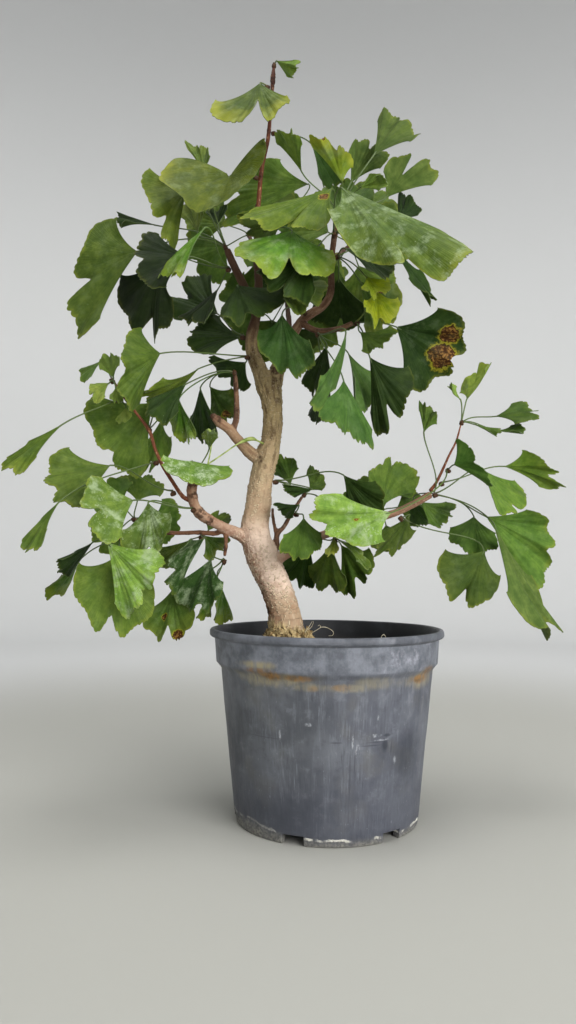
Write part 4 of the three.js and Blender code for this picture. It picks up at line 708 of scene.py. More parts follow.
class Wire:
    """A number, place or colour on its way through a node tree, with short ways to work on it."""

    def __init__(self, nodes, socket):
        self.nodes, self.socket = nodes, socket

    def __mul__(self, other):
        return self.nodes.math("MULTIPLY", self, other)

    def __add__(self, other):
        return self.nodes.math("ADD", self, other)

    __radd__ = __add__

    def __sub__(self, other):
        return self.nodes.math("SUBTRACT", self, other)

    def __rsub__(self, other):
        return self.nodes.math("SUBTRACT", other, self)

    def most(self, other):
        return self.nodes.math("MAXIMUM", self, other)

    def stretched(self, *scale):
        return self.nodes.vector("MULTIPLY", self, scale)

    def split(self):
        return self.nodes.wires("ShaderNodeSeparateXYZ", Vector=self)

    def channels(self):
        return self.nodes.wires("ShaderNodeSeparateColor", Color=self)

    def noise(self, scale, detail=2.0, roughness=0.5):
        return self.nodes.wires("ShaderNodeTexNoise", Vector=self, Scale=scale, Detail=detail, Roughness=roughness)[0]

    def cells(self, scale):
        return self.nodes.wires("ShaderNodeTexVoronoi", Vector=self, Scale=scale)[0]

    def span(self, low, high, to_low=0.0, to_high=1.0):
        """The value mapped from low..high to to_low..to_high, with soft ends."""
        return self.nodes.wires(
            "ShaderNodeMapRange", {"interpolation_type": "SMOOTHSTEP"}, Value=self, From_Min=low, From_Max=high,
            To_Min=to_low, To_Max=to_high,
        )[0]

    def mix(self, one, other):
        """One colour where the value is 0, the other where it is 1."""
        return self.nodes.mix(self, one, other)

    def stain(self, *layers):
        """The colour with tints laid over it: each layer is a mask, the share of its strength and the tint."""
        colour = self
        for mask, share, tint in layers:
            colour = (mask * share).mix(colour, tint)
        return colour

    def tinted(self, tint):
        return self.nodes.mix(1.0, self, tint, "MULTIPLY")


class Nodes:
    """A material's or a group's node tree, with short ways to add what most finishes need."""

    def __init__(self, tree, shader=None):
        self.tree, self.shader = tree, shader

    def add(self, kind, settings=None, **inputs):
        node = self.tree.nodes.new(kind)
        for key, value in (settings or {}).items():
            setattr(node, key, value)
        self.feed(node, **inputs)
        return node

    def feed(self, node, **inputs):
        for key, value in inputs.items():
            self.set(node.inputs[key.replace("_", " ")], value)

    def set(self, socket, value):
        if isinstance(value, Wire):
            self.tree.links.new(value.socket, socket)
        else:
            socket.default_value = value

    def wires(self, kind, settings=None, **inputs):
        return [Wire(self, socket) for socket in self.add(kind, settings, **inputs).outputs]

    def operate(self, kind, operation, values, **settings):
        node = self.add(kind, {"operation": operation, **settings})
        for socket, value in zip(node.inputs, values):
            self.set(socket, value)
        return node

    def math(self, operation, *values, clamp=False):
        return Wire(self, self.operate("ShaderNodeMath", operation, values, use_clamp=clamp).outputs[0])

    def vector(self, operation, *values):
        node = self.operate("ShaderNodeVectorMath", operation, values)
        return Wire(self, node.outputs["Value" if operation == "LENGTH" else "Vector"])

    def place(self, kind="Object"):
        return Wire(self, self.add("ShaderNodeTexCoord").outputs[kind])

    def attribute(self, name, output="Color"):
        return Wire(self, self.add("ShaderNodeAttribute", {"attribute_name": name}).outputs[output])

    def mix(self, share, one, other, blend="MIX"):
        node = self.add("ShaderNodeMix", {"data_type": "RGBA", "blend_type": blend})
        for place, value in ((0, share), (6, one), (7, other)):
            self.set(node.inputs[place], opaque(value))
        return Wire(self, node.outputs[2])

    def group(self, build, **inputs):
        """The wires out of a shared node group, which is built the first time it is asked for."""
        name = build.__name__
        tree = bpy.data.node_groups.get(name) or build(name)
        return {wire.socket.name: wire for wire in self.wires("ShaderNodeGroup", {"node_tree": tree}, **inputs)}

    def finish(self, colour, height, distance, strength=1.0, **inputs):
        """Feeds the shader its colour, and a relief of a height from 0 to 1 that stands distance millimetres proud."""
        relief = self.wires("ShaderNodeBump", Height=height, Distance=distance * MM, Strength=strength)[0]
        self.feed(self.shader, Base_Color=colour, Normal=relief, **inputs)


def opaque(value):
    """A colour in hex digits or in three numbers with its fourth number; other values as they are."""
    if isinstance(value, str):
        value = linear(value)
    return (*value, 1.0) if isinstance(value, (tuple, Color)) else value


def new_group(name, inputs, *outputs):
    """A shader node group: its tree, its nodes, the wires that come in and the sockets of values that go out."""
    tree = bpy.data.node_groups.new(name, "ShaderNodeTree")
    for label, kind in inputs.items():
        tree.interface.new_socket(name=label, in_out="INPUT", socket_type=f"NodeSocket{kind}")
    for label in outputs:
        tree.interface.new_socket(name=label, in_out="OUTPUT", socket_type="NodeSocketFloat")
    nodes = Nodes(tree)
    given = {wire.socket.name: wire for wire in nodes.wires("NodeGroupInput")}
    return tree, nodes, given, nodes.add("NodeGroupOutput").inputs


def new_material(name, roughness, specular=0.5):
    """A material with a Principled shader, and its nodes."""
    material = bpy.data.materials.new(name)
    material.use_nodes = True
    shader = material.node_tree.nodes["Principled BSDF"]
    nodes = Nodes(material.node_tree, shader)
    nodes.feed(shader, Roughness=roughness, Specular_IOR_Level=specular)
    return material, nodes


def fan_streaks(name):
    """Fan veins over a blade's UV map, which part in two twice on their way to the margin, and broad soft streaks."""
    tree, nodes, given, out = new_group(name, {"UV": "Vector", "Veins": "Float"}, "Vein", "Streak")
    across, along, _ = given["UV"].split()

    def stripes(share):
        row = nodes.wires("ShaderNodeCombineXYZ", X=across * (given["Veins"] * share), Y=along * 3.0)[0]
        return row.noise(1.0, 0.0)

    inner = along.span(0.22, 0.3).mix(stripes(0.25), stripes(0.5))
    outer = along.span(0.5, 0.6).mix(inner, stripes(1.0))
    nodes.set(out["Vein"], outer.span(0.38, 0.62))
    broad = given["UV"].stretched(9.0, 1.2, 1.0).noise(1.0, 3.0)
    nodes.set(out["Streak"], broad.span(0.3, 0.7))
    return tree


def specks(name):
    """Small irregular specks, more of them where Amount is greater."""
    tree, nodes, given, out = new_group(name, {"Place": "Vector", "Scale": "Float", "Amount": "Float"}, "Mask")
    fine = given["Place"].noise(given["Scale"], 3.0, 0.6)
    patches = given["Place"].noise(given["Scale"] * 0.13, 2.0)
    over = fine + (patches - 0.5) * 0.5 - (0.8 - given["Amount"] * 0.22)
    nodes.set(out["Mask"], nodes.math("MULTIPLY", over, 14.0, clamp=True))
    return tree


def stain_patch(name):
    """A ragged oval patch on a wall: Place and Centre hold an angle and a height, Size its half width and height."""
    tree, nodes, given, out = new_group(
        name, {"Place": "Vector", "Centre": "Vector", "Size": "Vector", "Ragged": "Float", "Noise": "Float"}, "Mask"
    )
    away = nodes.vector("SUBTRACT", given["Place"], given["Centre"])
    away = nodes.vector("LENGTH", nodes.vector("DIVIDE", away, given["Size"]))
    rough = (given["Noise"] - 0.5) * given["Ragged"]
    nodes.set(out["Mask"], (away + rough).span(1.0, 0.25))
    return tree


# ---------------- settings


def colour(name, description, hexed):
    """A colour setting whose default is given as six hex digits of screen colour."""
    return bpy.props.FloatVectorProperty(
        name=name, description=description, default=linear(hexed), subtype="COLOR", size=3, min=0.0, max=1.0
    )


def linear(hexed):
    parts = [int(hexed[i : i + 2], 16) / 255.0 for i in (0, 2, 4)]
    return tuple(p / 12.92 if p <= 0.04045 else ((p + 0.055) / 1.055) ** 2.4 for p in parts)


def length(name, description, millimetres, **limits):
    return bpy.props.FloatProperty(
        name=name, description=description, default=millimetres * MM, unit="LENGTH", precision=4, **limits
    )


class GINKGO_PG_pot(bpy.types.PropertyGroup):
    plastic: colour("Plastic", "Blue-grey of the weathered plastic", "4c4f54")
    faded: colour("Faded", "Paler grey of worn streaks", "6e7178")
    inside: colour("Inside", "Near black of the unfaded inner wall", "1c1e22")
    rust: colour("Rust", "Rust-coloured stain under the collar", "86602f")
    ochre: colour("Ochre", "Paler edge of the stain", "a19672")
    lime: colour("Lime", "Lime crust on the foot", "c9c6ba")
    wobble: length("Wobble", "How far the wall strays from a true round", 0.5, min=0.0)


class GINKGO_PG_soil(bpy.types.PropertyGroup):
    mix: colour("Mix", "Dark brown of the potting mix", "35291f")
    chip: colour("Chips", "Brown of the bark chips in it", "5d4630")
    straw: colour("Straw", "Dry flakes round the trunk's foot", "dcc896")
    rootlet: colour("Rootlets", "Pale fine roots that curl out of the mix", "e4dcc4")
    lump: length("Lumps", "Height of the lumps of the surface", 1.6, min=0.0)


class GINKGO_PG_wood(bpy.types.PropertyGroup):
    bark: colour("Bark", "Tan of the trunk's bark", "bda184")
    warm: colour("Warm bark", "Pinkish brown of bark on branches", "997660")
    olive: colour("Olive bark", "Olive grey of smooth bark in the shade", "8c7c55")
    # the crack colour also paints the shade on the wood inside the crown
    crack_and_shade: colour("Cracks", "Dark brown of cracks and old scars", "3f2a1d")
    lenticel: colour("Lenticels", "Pale warts of the bark", "e2cfac")
    young: colour("Young wood", "Red-brown of this year's shoots", "6b3a22")
    voxel: length("Fineness", "Size of the cells that the stems are blended with", 1.0, min=0.0006)
    relief: length("Relief", "How far the bark's lumps stand out", 0.75, min=0.0)


# The greens of the leaves' upper faces, and the marks each kind carries: yellow of the margin, dust, and gloss. The
# deep green is partly painted shade for leaves inside the crown, and the dust is partly a painted highlight.
LOOKS = {
    "deep": ("Deep green", "2a3f17", (0.15, 0.03, 0.4)),
    "mid": ("Middle green", "516a29", (0.35, 0.08, 0.4)),
    "fresh": ("Fresh green", "5c7327", (0.5, 0.1, 0.45)),
    "bright": ("Bright green", "527625", (0.75, 0.42, 0.5)),
    "young": ("Young green", "71863b", (0.2, 0.1, 0.3)),
    "gold": ("Golden green", "5e701f", (0.9, 0.22, 0.4)),
    "pale": ("Pale green", "53663a", (0.3, 0.15, 0.35)),
    "gloss": ("Glossy green", "4a6427", (0.5, 0.62, 0.6)),
    "dusty": ("Dusty green", "638036", (0.4, 1.0, 0.5)),
    "dark_dusty": ("Dark dusty green", "304b22", (0.2, 0.8, 0.5)),
    "cool": ("Cool green", "486a30", (0.3, 0.1, 0.5)),
    "lime": ("Lime green", "93a31c", (0.8, 0.1, 0.4)),
    "spotted": ("Spotted green", "3c5420", (0.6, 0.2, 0.4)),
    "blotched": ("Blotched green", "2a3f16", (0.3, 0.1, 0.3)),
}


class GINKGO_PG_leaves(bpy.types.PropertyGroup):
    __annotations__ = {
        "under": colour("Underside", "Matt grey-green of the leaves' undersides", "5f7a2e"),
        "margin": colour("Margin", "Yellow-green of the thin edge", "9ea136"),
        # the stalks' green is partly painted shade, darkened as most stalks lie in the crown's shade
        "stalk": colour("Stalks", "Green of the leaf stalks", "475a22"),
        "scorch": colour("Scorch", "Brown of dead spots", "3e2511"),
        "bud": colour("Buds", "Brown of the bud scales", "33231a"),
        "blade": length("Blade", "Thickness of a blade", 0.5, min=0.0002),
        "stalk_width": length("Stalk width", "Width of a leaf stalk", 1.3, min=0.0005),
        **{look: colour(label, f"{label} of the upper face", hexed) for look, (label, hexed, _) in LOOKS.items()},
    }


class GINKGO_PG_stage(bpy.types.PropertyGroup):
    floor: colour("Floor", "Pale floor", "b3b3ad")
    wall: colour("Wall", "Pale wall behind", "dadbdb")
    # painted shade: the wall is painted greyer towards its top, where the light falls off
    top: colour("Wall top", "Greyer upper part of the wall", "b5b6b6")
    radius: length("Radius", "Radius of the flat floor", 1500.0, min=0.5)


# ---------------- leaves


def leaf_material(name, settings, upper):
    material, nodes = new_material(name, 0.45 if upper else 0.62, 0.1 if upper else 0.05)
    uv, place = nodes.place("UV"), nodes.place()
    veins = nodes.group(fan_streaks, UV=uv, Veins=150.0)
    tint = nodes.attribute("tint")
    edge, dust, scorch = nodes.attribute("marks").channels()
    _, along, _ = uv.split()
    mottle = place.noise(90, 3)

    if not upper:
        tint = nodes.mix(0.35, tint, settings.under)
    colour = tint.tinted(veins["Streak"].mix((0.86, 0.89, 0.84), (1.1, 1.07, 1.06)))
    colour = colour.tinted(veins["Vein"].mix((0.93, 0.93, 0.93), (1.07, 1.06, 1.02)))
    colour = colour.tinted(mottle.span(0.3, 0.7).mix((0.76, 0.82, 0.78), (1.22, 1.16, 1.2)))
    grain = place.noise(280, 4, 0.65)
    colour = colour.tinted(grain.span(0.35, 0.65).mix((0.86, 0.89, 0.86), (1.15, 1.11, 1.12)))

    wander = (mottle - 0.5) * 0.16
    at_edge = (along + wander).span(0.93, 1) * 0.75
    inner = (along + wander * 4).span(0.5, 1.1) * edge.span(0.3, 1, 0.05, 0.75)
    yellow = nodes.math("MULTIPLY", at_edge.most(inner), edge, clamp=True)
    colour = yellow.mix(colour, settings.margin)

    ragged = scorch + (place.noise(150, 5, 0.7) - 0.5) * 1.1
    worn = nodes.math("GREATER_THAN", scorch, 0.02)
    halo = ragged.span(0.24, 0.46) * worn
    dead = ragged.span(0.45, 0.52) * worn
    colour = colour.stain((halo, 0.8, "9f9626"))
    crisp = place.noise(420, 4, 0.7).span(0.46, 0.64).mix(settings.scorch, "9c7238")
    crisp = ragged.span(0.62, 0.5).mix(crisp, "2a150b")
    colour = dead.mix(colour, crisp)

    if upper:
        # a pale film that is partly dust and partly a painted highlight on the leaves' upper faces
        dust_film_and_highlight = place.noise(85, 5, 0.72).span(0.47, 0.68) * dust * 0.68
        colour = dust_film_and_highlight.mix(colour, "afc09a")
        dots = nodes.group(specks, Place=place, Scale=480.0, Amount=dust * 0.6)["Mask"]
        colour = colour.stain((dots, 0.45, "c3cfb0"))
        gloss = nodes.attribute("marks", "Alpha")
        sheen = gloss.span(0.5, 0.9, 0, 0.28) * place.noise(55, 3).span(0.35, 0.65)
        rough = 0.66 - gloss * 0.36 + dust_film_and_highlight.most(dots) * 0.4
        rough = nodes.math("ADD", rough, veins["Streak"] * 0.08, clamp=True)
        nodes.feed(nodes.shader, Coat_Weight=sheen, Coat_Roughness=0.34, Roughness=rough)
    nodes.finish(colour, veins["Vein"] + mottle * 1.6, 0.13 if upper else 0.2, 0.8)

    through = nodes.wires("ShaderNodeBsdfTranslucent", Color=colour.tinted((1.0, 1.0, 0.5)))[0]
    both = nodes.add("ShaderNodeMixShader")
    for socket, value in zip(both.inputs, (0.12, Wire(nodes, nodes.shader.outputs[0]), through)):
        nodes.set(socket, value)
    nodes.feed(nodes.tree.nodes["Material Output"], Surface=Wire(nodes, both.outputs[0]))
    return material


def stalk_material(settings):
    material, nodes = new_material("leaf_stalk", 0.5)
    place = nodes.place()
    # the stalk green holds painted shade as well as the stalks' own colour
    colour = (place.noise(60, 3).span(0.35, 0.7) * 0.5).mix(settings.stalk, nodes.attribute("tint"))
    colour = colour.stain((nodes.attribute("marks").channels()[2], 0.8, settings.bud))
    nodes.finish(colour, place.noise(900, 2), 0.06)
    return material


def bud_material(settings):
    material, nodes = new_material("bud_scales", 0.6, 0.2)
    place = nodes.place()
    grain = place.noise(700, 3, 0.6)
    colour = grain.span(0.35, 0.65).mix(settings.bud, "523820")
    colour = place.noise(260, 2).span(0.5, 0.75).mix(colour, "2e1c12")
    nodes.finish(colour, grain, 0.25)
    return material


# How light a rosette's leaves of a look are against the rest of that look: partly their own tone and partly painted
# light and shade, where a rosette sits in the light or in the crown's shade.
TONES_AND_PAINTED_LIGHT = {
    "leader_high gold": 0.55, "leader_low gold": 0.6, "left_top mid": 0.8, "apex mid": 1.95, "crown_front fresh": 0.8,
    "low_twig_end mid": 1.35, "left_bud_c mid": 1.3, "left_fork dusty": 0.86, "branch_end mid": 1.3,
    "branch_end pale": 0.95, "branch_end deep": 2.3, "stem_high bright": 1.2, "crown_tip mid": 1.9,
    "right_tip fresh": 1.7, "right_bud_b dusty": 1.5, "left_stem_low mid": 0.85, "low_twig_end dusty": 1.45,
    "stem_high mid": 0.7, "leader_mid deep": 1.25, "right_tip young": 1.3, "fork_bud cool": 0.76,
    "crown_tip gold": 1.5, "crown_tip pale": 0.68, "left_top_low deep": 0.4, "right_bud_b deep": 4.5,
    "branch_bud_c mid": 0.6, "low_twig_down spotted": 1.7, "left_bud_d fresh": 0.9, "right_bud_a fresh": 1.2,
}

# Dead spots on a rosette's leaves of a look: places (s, t) in the blade with their radii in millimetres.
DEAD_SPOTS = {
    "twig_end blotched": [(0.8, -0.5, 11.5), (0.8, 0.08, 15)], "left_mid spotted": [(0.82, 0.1, 5.5)],
    "low_twig_down spotted": [(0.55, -0.35, 3.4), (0.9, 0.3, 6.5)],
    "crown_low spotted": [(0.8, 0.2, 6), (0.95, -0.4, 5)], "crown_front fresh": [(0.22, 0.35, 5)],
    "crown_low lime": [(0.98, 0.1, 3.5)], "crown_tip gold": [(1, -0.35, 2.4)],
    "right_bud_b dusty": [(0.5, 0.05, 2.2)],
}

DUSTY_ROSETTE = "left_stub"
LARGE_BLADE, SMALL_BLADE = (124, 12), (60, 8)  # columns and rows of faces
SMALL_LEAF = 30.0  # a leaf up to this length, in millimetres, has a small blade
BLADE_FOOT = 0.03  # where the blade starts, as a share of its length
STALK_RINGS, STALK_SIDES = 16, 8


def blade_template(columns, rows):
    return new_primitive(bpy.ops.mesh.primitive_grid_add, "blade", x_subdivisions=columns, y_subdivisions=rows, size=2)


def stalk_template():
    """A thin rod of rings along Z, whose ring numbers are its heights."""
    obj = new_primitive(
        bpy.ops.mesh.primitive_circle_add, "stalk_template", vertices=STALK_SIDES, radius=1.0, fill_type="NGON"
    )
    edit(obj)
    for _ in range(STALK_RINGS - 1):
        extrude(1.0)
    close_edit()
    return obj


def bud_template():
    """A short spur: rings of scales that narrow to a blunt tip, along Z, in millimetres."""
    obj = new_primitive(
        bpy.ops.mesh.primitive_circle_add, "bud_template", vertices=12, radius=1.65 * MM, fill_type="NGON",
        location=(0.0, 0.0, -1.4 * MM),
    )
    edit(obj)
    steps = (0.9, 1.28), (0.5, 0.86), (0.7, 1.14), (0.45, 0.84), (0.65, 1.04), (0.4, 0.8), (0.5, 0.86), (0.4, 0.55)
    for rise, share in steps:
        extrude(rise * MM, share)
    close_edit()
    return obj


def fine_edge(leaf, s, t):
    """Rounded scallops in two sizes, worn corners and a few nicks of the margin, as a share of the blade's length."""

    def wavy(scale, layer=0.0):
        return np.array([noise_at(scale * v, 7.3 * leaf.index, layer) for v in t])

    wander = wavy(1.9)
    count = max(9.0, leaf.length * 0.34) * (0.85 + 0.35 * draw(leaf.index, 6))

    def scallops(number, first):
        return np.abs(np.sin(pi * (number * t / 2.0 + 1.9 * wander + first))) ** 0.5 - 1.0

    depth = 0.4 + 1.3 * abs(wavy(4.2, 3.0))
    nick = np.maximum(0.0, wavy(9.0, 5.0) - 0.4)
    size = min(1.0, 36.0 / leaf.length)
    corner = np.clip((np.abs(t) - 0.72) / 0.28, 0.0, 1.0)
    small = 0.075 * depth * scallops(count, draw(leaf.index, 7))
    shape = size * (small + 0.03 * scallops(0.45 * count, draw(leaf.index, 13)))
    return (shape + 0.03 * wavy(3.0, 9.0) - 0.3 * size * nick - 0.15 * corner**2) * s**5


def fine_lift(leaf, s, t):
    """Pleats and a wavy rim, in millimetres off the plain blade."""
    seed = 3.1 * leaf.index
    wave = np.array([noise_at(2.2 * b, 1.5 * a, seed) for a, b in zip(s, t)])
    pleat = np.sin(2.0 * pi * (3.0 + 3.0 * draw(leaf.index, 8)) * t + 6.3 * draw(leaf.index, 9))
    fine = np.array([noise_at(9.0 * b, 4.0 * a, seed + 40.0) for a, b in zip(s, t)])
    return (0.045 * wave * s + 0.006 * pleat * s + 0.010 * fine * s**3) * min(leaf.length, 60.0)


def build_blade(template, leaf, settings):
    """One blade, its upper face outwards. Most leaves show their upper face to the front, the pale ones the other."""
    obj = copy_of(template, "blade")
    flat = vertices_of(obj)
    centre = leaf.points(np.array([0.6]), np.zeros(1))[0]
    towards_front = float(np.dot(leaf.normal, EYE - centre)) > 0.0
    upper_front = leaf.look != "pale"
    turned = 1.0 if towards_front != upper_front else -1.0
    t = flat[:, 0] * turned
    s = BLADE_FOOT + (1.0 - BLADE_FOOT) * (flat[:, 1] + 1.0) / 2.0
    put_places(obj, leaf.points(s, t, fine_edge(leaf, s, t), fine_lift(leaf, s, t)))

    _, _, (edge, dust, gloss) = LOOKS[leaf.look]
    kind = f"{leaf.spur} {leaf.look}"
    # the rosette's tone, partly painted light and shade
    tone_and_light = TONES_AND_PAINTED_LIGHT.get(kind, 1.0) * (0.82 + 0.34 * draw(leaf.index, 10))
    tint = np.array(getattr(settings, leaf.look)) * tone_and_light
    tint[0] *= 0.9 + 0.2 * draw(leaf.index, 11)
    scorch = np.zeros(len(s))
    for spot_s, spot_t, radius in DEAD_SPOTS.get(kind, ()):
        middle = leaf.points(np.array([spot_s]), np.array([spot_t]))
        gap = np.linalg.norm(leaf.points(s, t) - middle, axis=1)
        scorch = np.maximum(scorch, np.clip(1.25 - gap / radius, 0.0, 1.0))
    put_attribute(obj, "tint", (*tint, 1.0))
    if leaf.spur == DUSTY_ROSETTE:
        dust = 1.6
    if leaf.spur == WIDE_ROSETTE:
        edge *= 1.0 - 0.9 * smoothstep(t, -0.95, -0.45)
    put_attribute(obj, "marks", np.stack(np.broadcast_arrays(edge, dust, scorch, gloss), axis=1))
    return obj


def build_stalk(template, leaf, settings):
    obj = copy_of(template, "stalk")
    flat = vertices_of(obj)
    ring = np.clip(np.round(flat[:, 2]).astype(int), 0, STALK_RINGS - 1)
    path = stalk_path(leaf, STALK_RINGS - 2)
    side = unit(leaf.right - leaf.left)
    axes = np.gradient(path, axis=0)
    share = np.linspace(0.0, 1.0, STALK_RINGS)
    width = settings.stalk_width / MM / 2.0 * (0.88 + 0.5 * np.exp(-share / 0.06) + 0.25 * share**6)
    width[-1] *= 0.6
    placed = np.empty_like(flat)
    for i in range(STALK_RINGS):
        along = unit(axes[i])
        across = unit(side - along * np.dot(side, along))
        up = np.cross(along, across)
        mine = ring == i
        placed[mine] = path[i] + width[i] * (flat[mine, :1] * across + flat[mine, 1:2] * up)
    put_places(obj, placed)
    put_attribute(obj, "tint", (*np.array(getattr(settings, leaf.look)), 1.0))
    marks = np.zeros((len(flat), 4))
    marks[:, 2] = np.exp(-share / 0.05)[ring]
    put_attribute(obj, "marks", marks)
    return obj


def build_bud(template, spur):
    obj = copy_of(template, "bud")
    middle, out = seat_of(spur)
    turn = Vector(out).to_track_quat("Z", "Y").to_matrix()
    flat = places_of(obj)
    lumpy = 1.0 + 0.12 * np.array([noise_at(0.9 * x, 0.9 * y, 0.9 * z + middle[0]) for x, y, z in flat])
    put_places(obj, (flat * lumpy[:, None]) @ np.array(turn).T + middle)
    put_attribute(obj, "tint", (0.1, 0.06, 0.04, 1.0))
    put_attribute(obj, "marks", (0.0, 0.0, 0.0, 0.0))
    return obj


# Late sprouts on the trunk: a fine green thread with a scale halfway, and a pale curled knob, as [x, z, y, radius].
SPROUTS = [
    [[-53, 302, -7, 0.9], [-58, 304.5, -13, 0.7], [-62, 306, -15, 1.7], [-67, 305, -16, 1.6], [-75, 301, -18, 0.6],
     [-85, 294, -22, 0.55], [-95, 287, -28, 0.6], [-101, 283, -33, 0.5]],
    [[-99, 284, -33, 0.6], [-97, 294, -26, 0.6], [-96, 305, -22, 0.8], [-97, 310, -22, 2.2], [-99, 313, -21, 1.6],
     [-101, 312, -20, 0.7]],
]


def build_sprouts(settings):
    obj = join([tube("sprout", *resampled(rows, 1.5), 10) for rows in SPROUTS], "side_sprouts")
    material, nodes = new_material("sprout_green", 0.5, 0.2)
    patches = nodes.place().noise(180, 2).span(0.35, 0.65)
    nodes.feed(nodes.shader, Base_Color=patches.mix(settings.young, "a3b066"))
    put_materials(obj, material)
    smooth(obj)
    return obj


DARK_ROSETTES = {
    "left_top_low", "stem_low", "stem_back", "left_stem", "left_mid", "low_twig_down", "right_back_tip",
    "right_back_mid", "branch_bud_a", "crown_low", "twig_bud", "back_high", "back_mid", "back_crown", "back_left",
    "back_right", "stem_high_back", "right_bud_b", "leader_mid", "fork_bud",
}
LIGHT_ROSETTES = {
    "leader_high", "leader_low", "left_tip", "left_fork", "left_stub", "right_tip", "crown_front", "crown_tip",
    "stem_high", "branch_bud_b",
}


def slot_of(spur):
    return "leaf_dark" if spur in DARK_ROSETTES else "leaf_light" if spur in LIGHT_ROSETTES else "leaf_green"


class GINKGO_OT_leaves(bpy.types.Operator):
    """Grow every rosette in place of its solid, and the late sprouts on the trunk"""

    bl_idname = "ginkgo.leaves"
    bl_label = "Rosettes of leaves"

    def execute(self, context):
        settings = context.scene.ginkgo_leaves
        upper, under = leaf_material("leaf_upper", settings, True), leaf_material("leaf_under", settings, False)
        stalk, bud = stalk_material(settings), bud_material(settings)
        large, small = blade_template(*LARGE_BLADE), blade_template(*SMALL_BLADE)
        rod, spur_form = stalk_template(), bud_template()
        templates = {large: 0, small: 0, rod: 2, spur_form: 3}
        for template, place in templates.items():
            put_materials(template, upper, under, stalk, bud)
            template.data.polygons.foreach_set("material_index", [place] * len(template.data.polygons))

        rows, grown = leaf_rows(), 0
        for spur in SPURS:
            node = f"leaves_{spur}"
            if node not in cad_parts:
                continue
            solid = vertex_finder(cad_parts[node])
            mine = [(row, index) for index, (owner, row) in enumerate(rows) if owner == spur]
            leaves = [leaf for row, index in mine for leaf in [settled_leaf(spur, row, index, solid)] if leaf]
            wanted = sum("spare" not in row for row, _ in mine)
            if len(leaves) < wanted:
                raise RuntimeError(f"{node} has {len(leaves)} of its {wanted} leaves")
            blades = [build_blade(large if leaf.length > SMALL_LEAF else small, leaf, settings) for leaf in leaves]
            blades = join(blades, "blades")
            apply_modifier(
                blades, "SOLIDIFY", thickness=settings.blade, offset=0.0, material_offset=1, material_offset_rim=2
            )
            smooth(blades, 50.0)
            others = [*(build_stalk(rod, leaf, settings) for leaf in leaves), build_bud(spur_form, spur)]
            for one in others:
                smooth(one, 70.0)
            ridden(join([blades, *others], f"foliage_{spur}"), slot_of(spur), node)
            grown += len(leaves)
        ridden(build_sprouts(settings), "leaf_light")
        drop(*templates)
        self.report({"INFO"}, f"{grown} leaves")
        return {"FINISHED"}


def vertex_finder(obj):
    """Finds the nearest vertex of a solid, in millimetres."""
    places = places_of(obj)
    finder = KDTree(len(places))
    for i, place in enumerate(places):
        finder.insert(place, i)
    finder.balance()
    return finder


# ---------------- wood


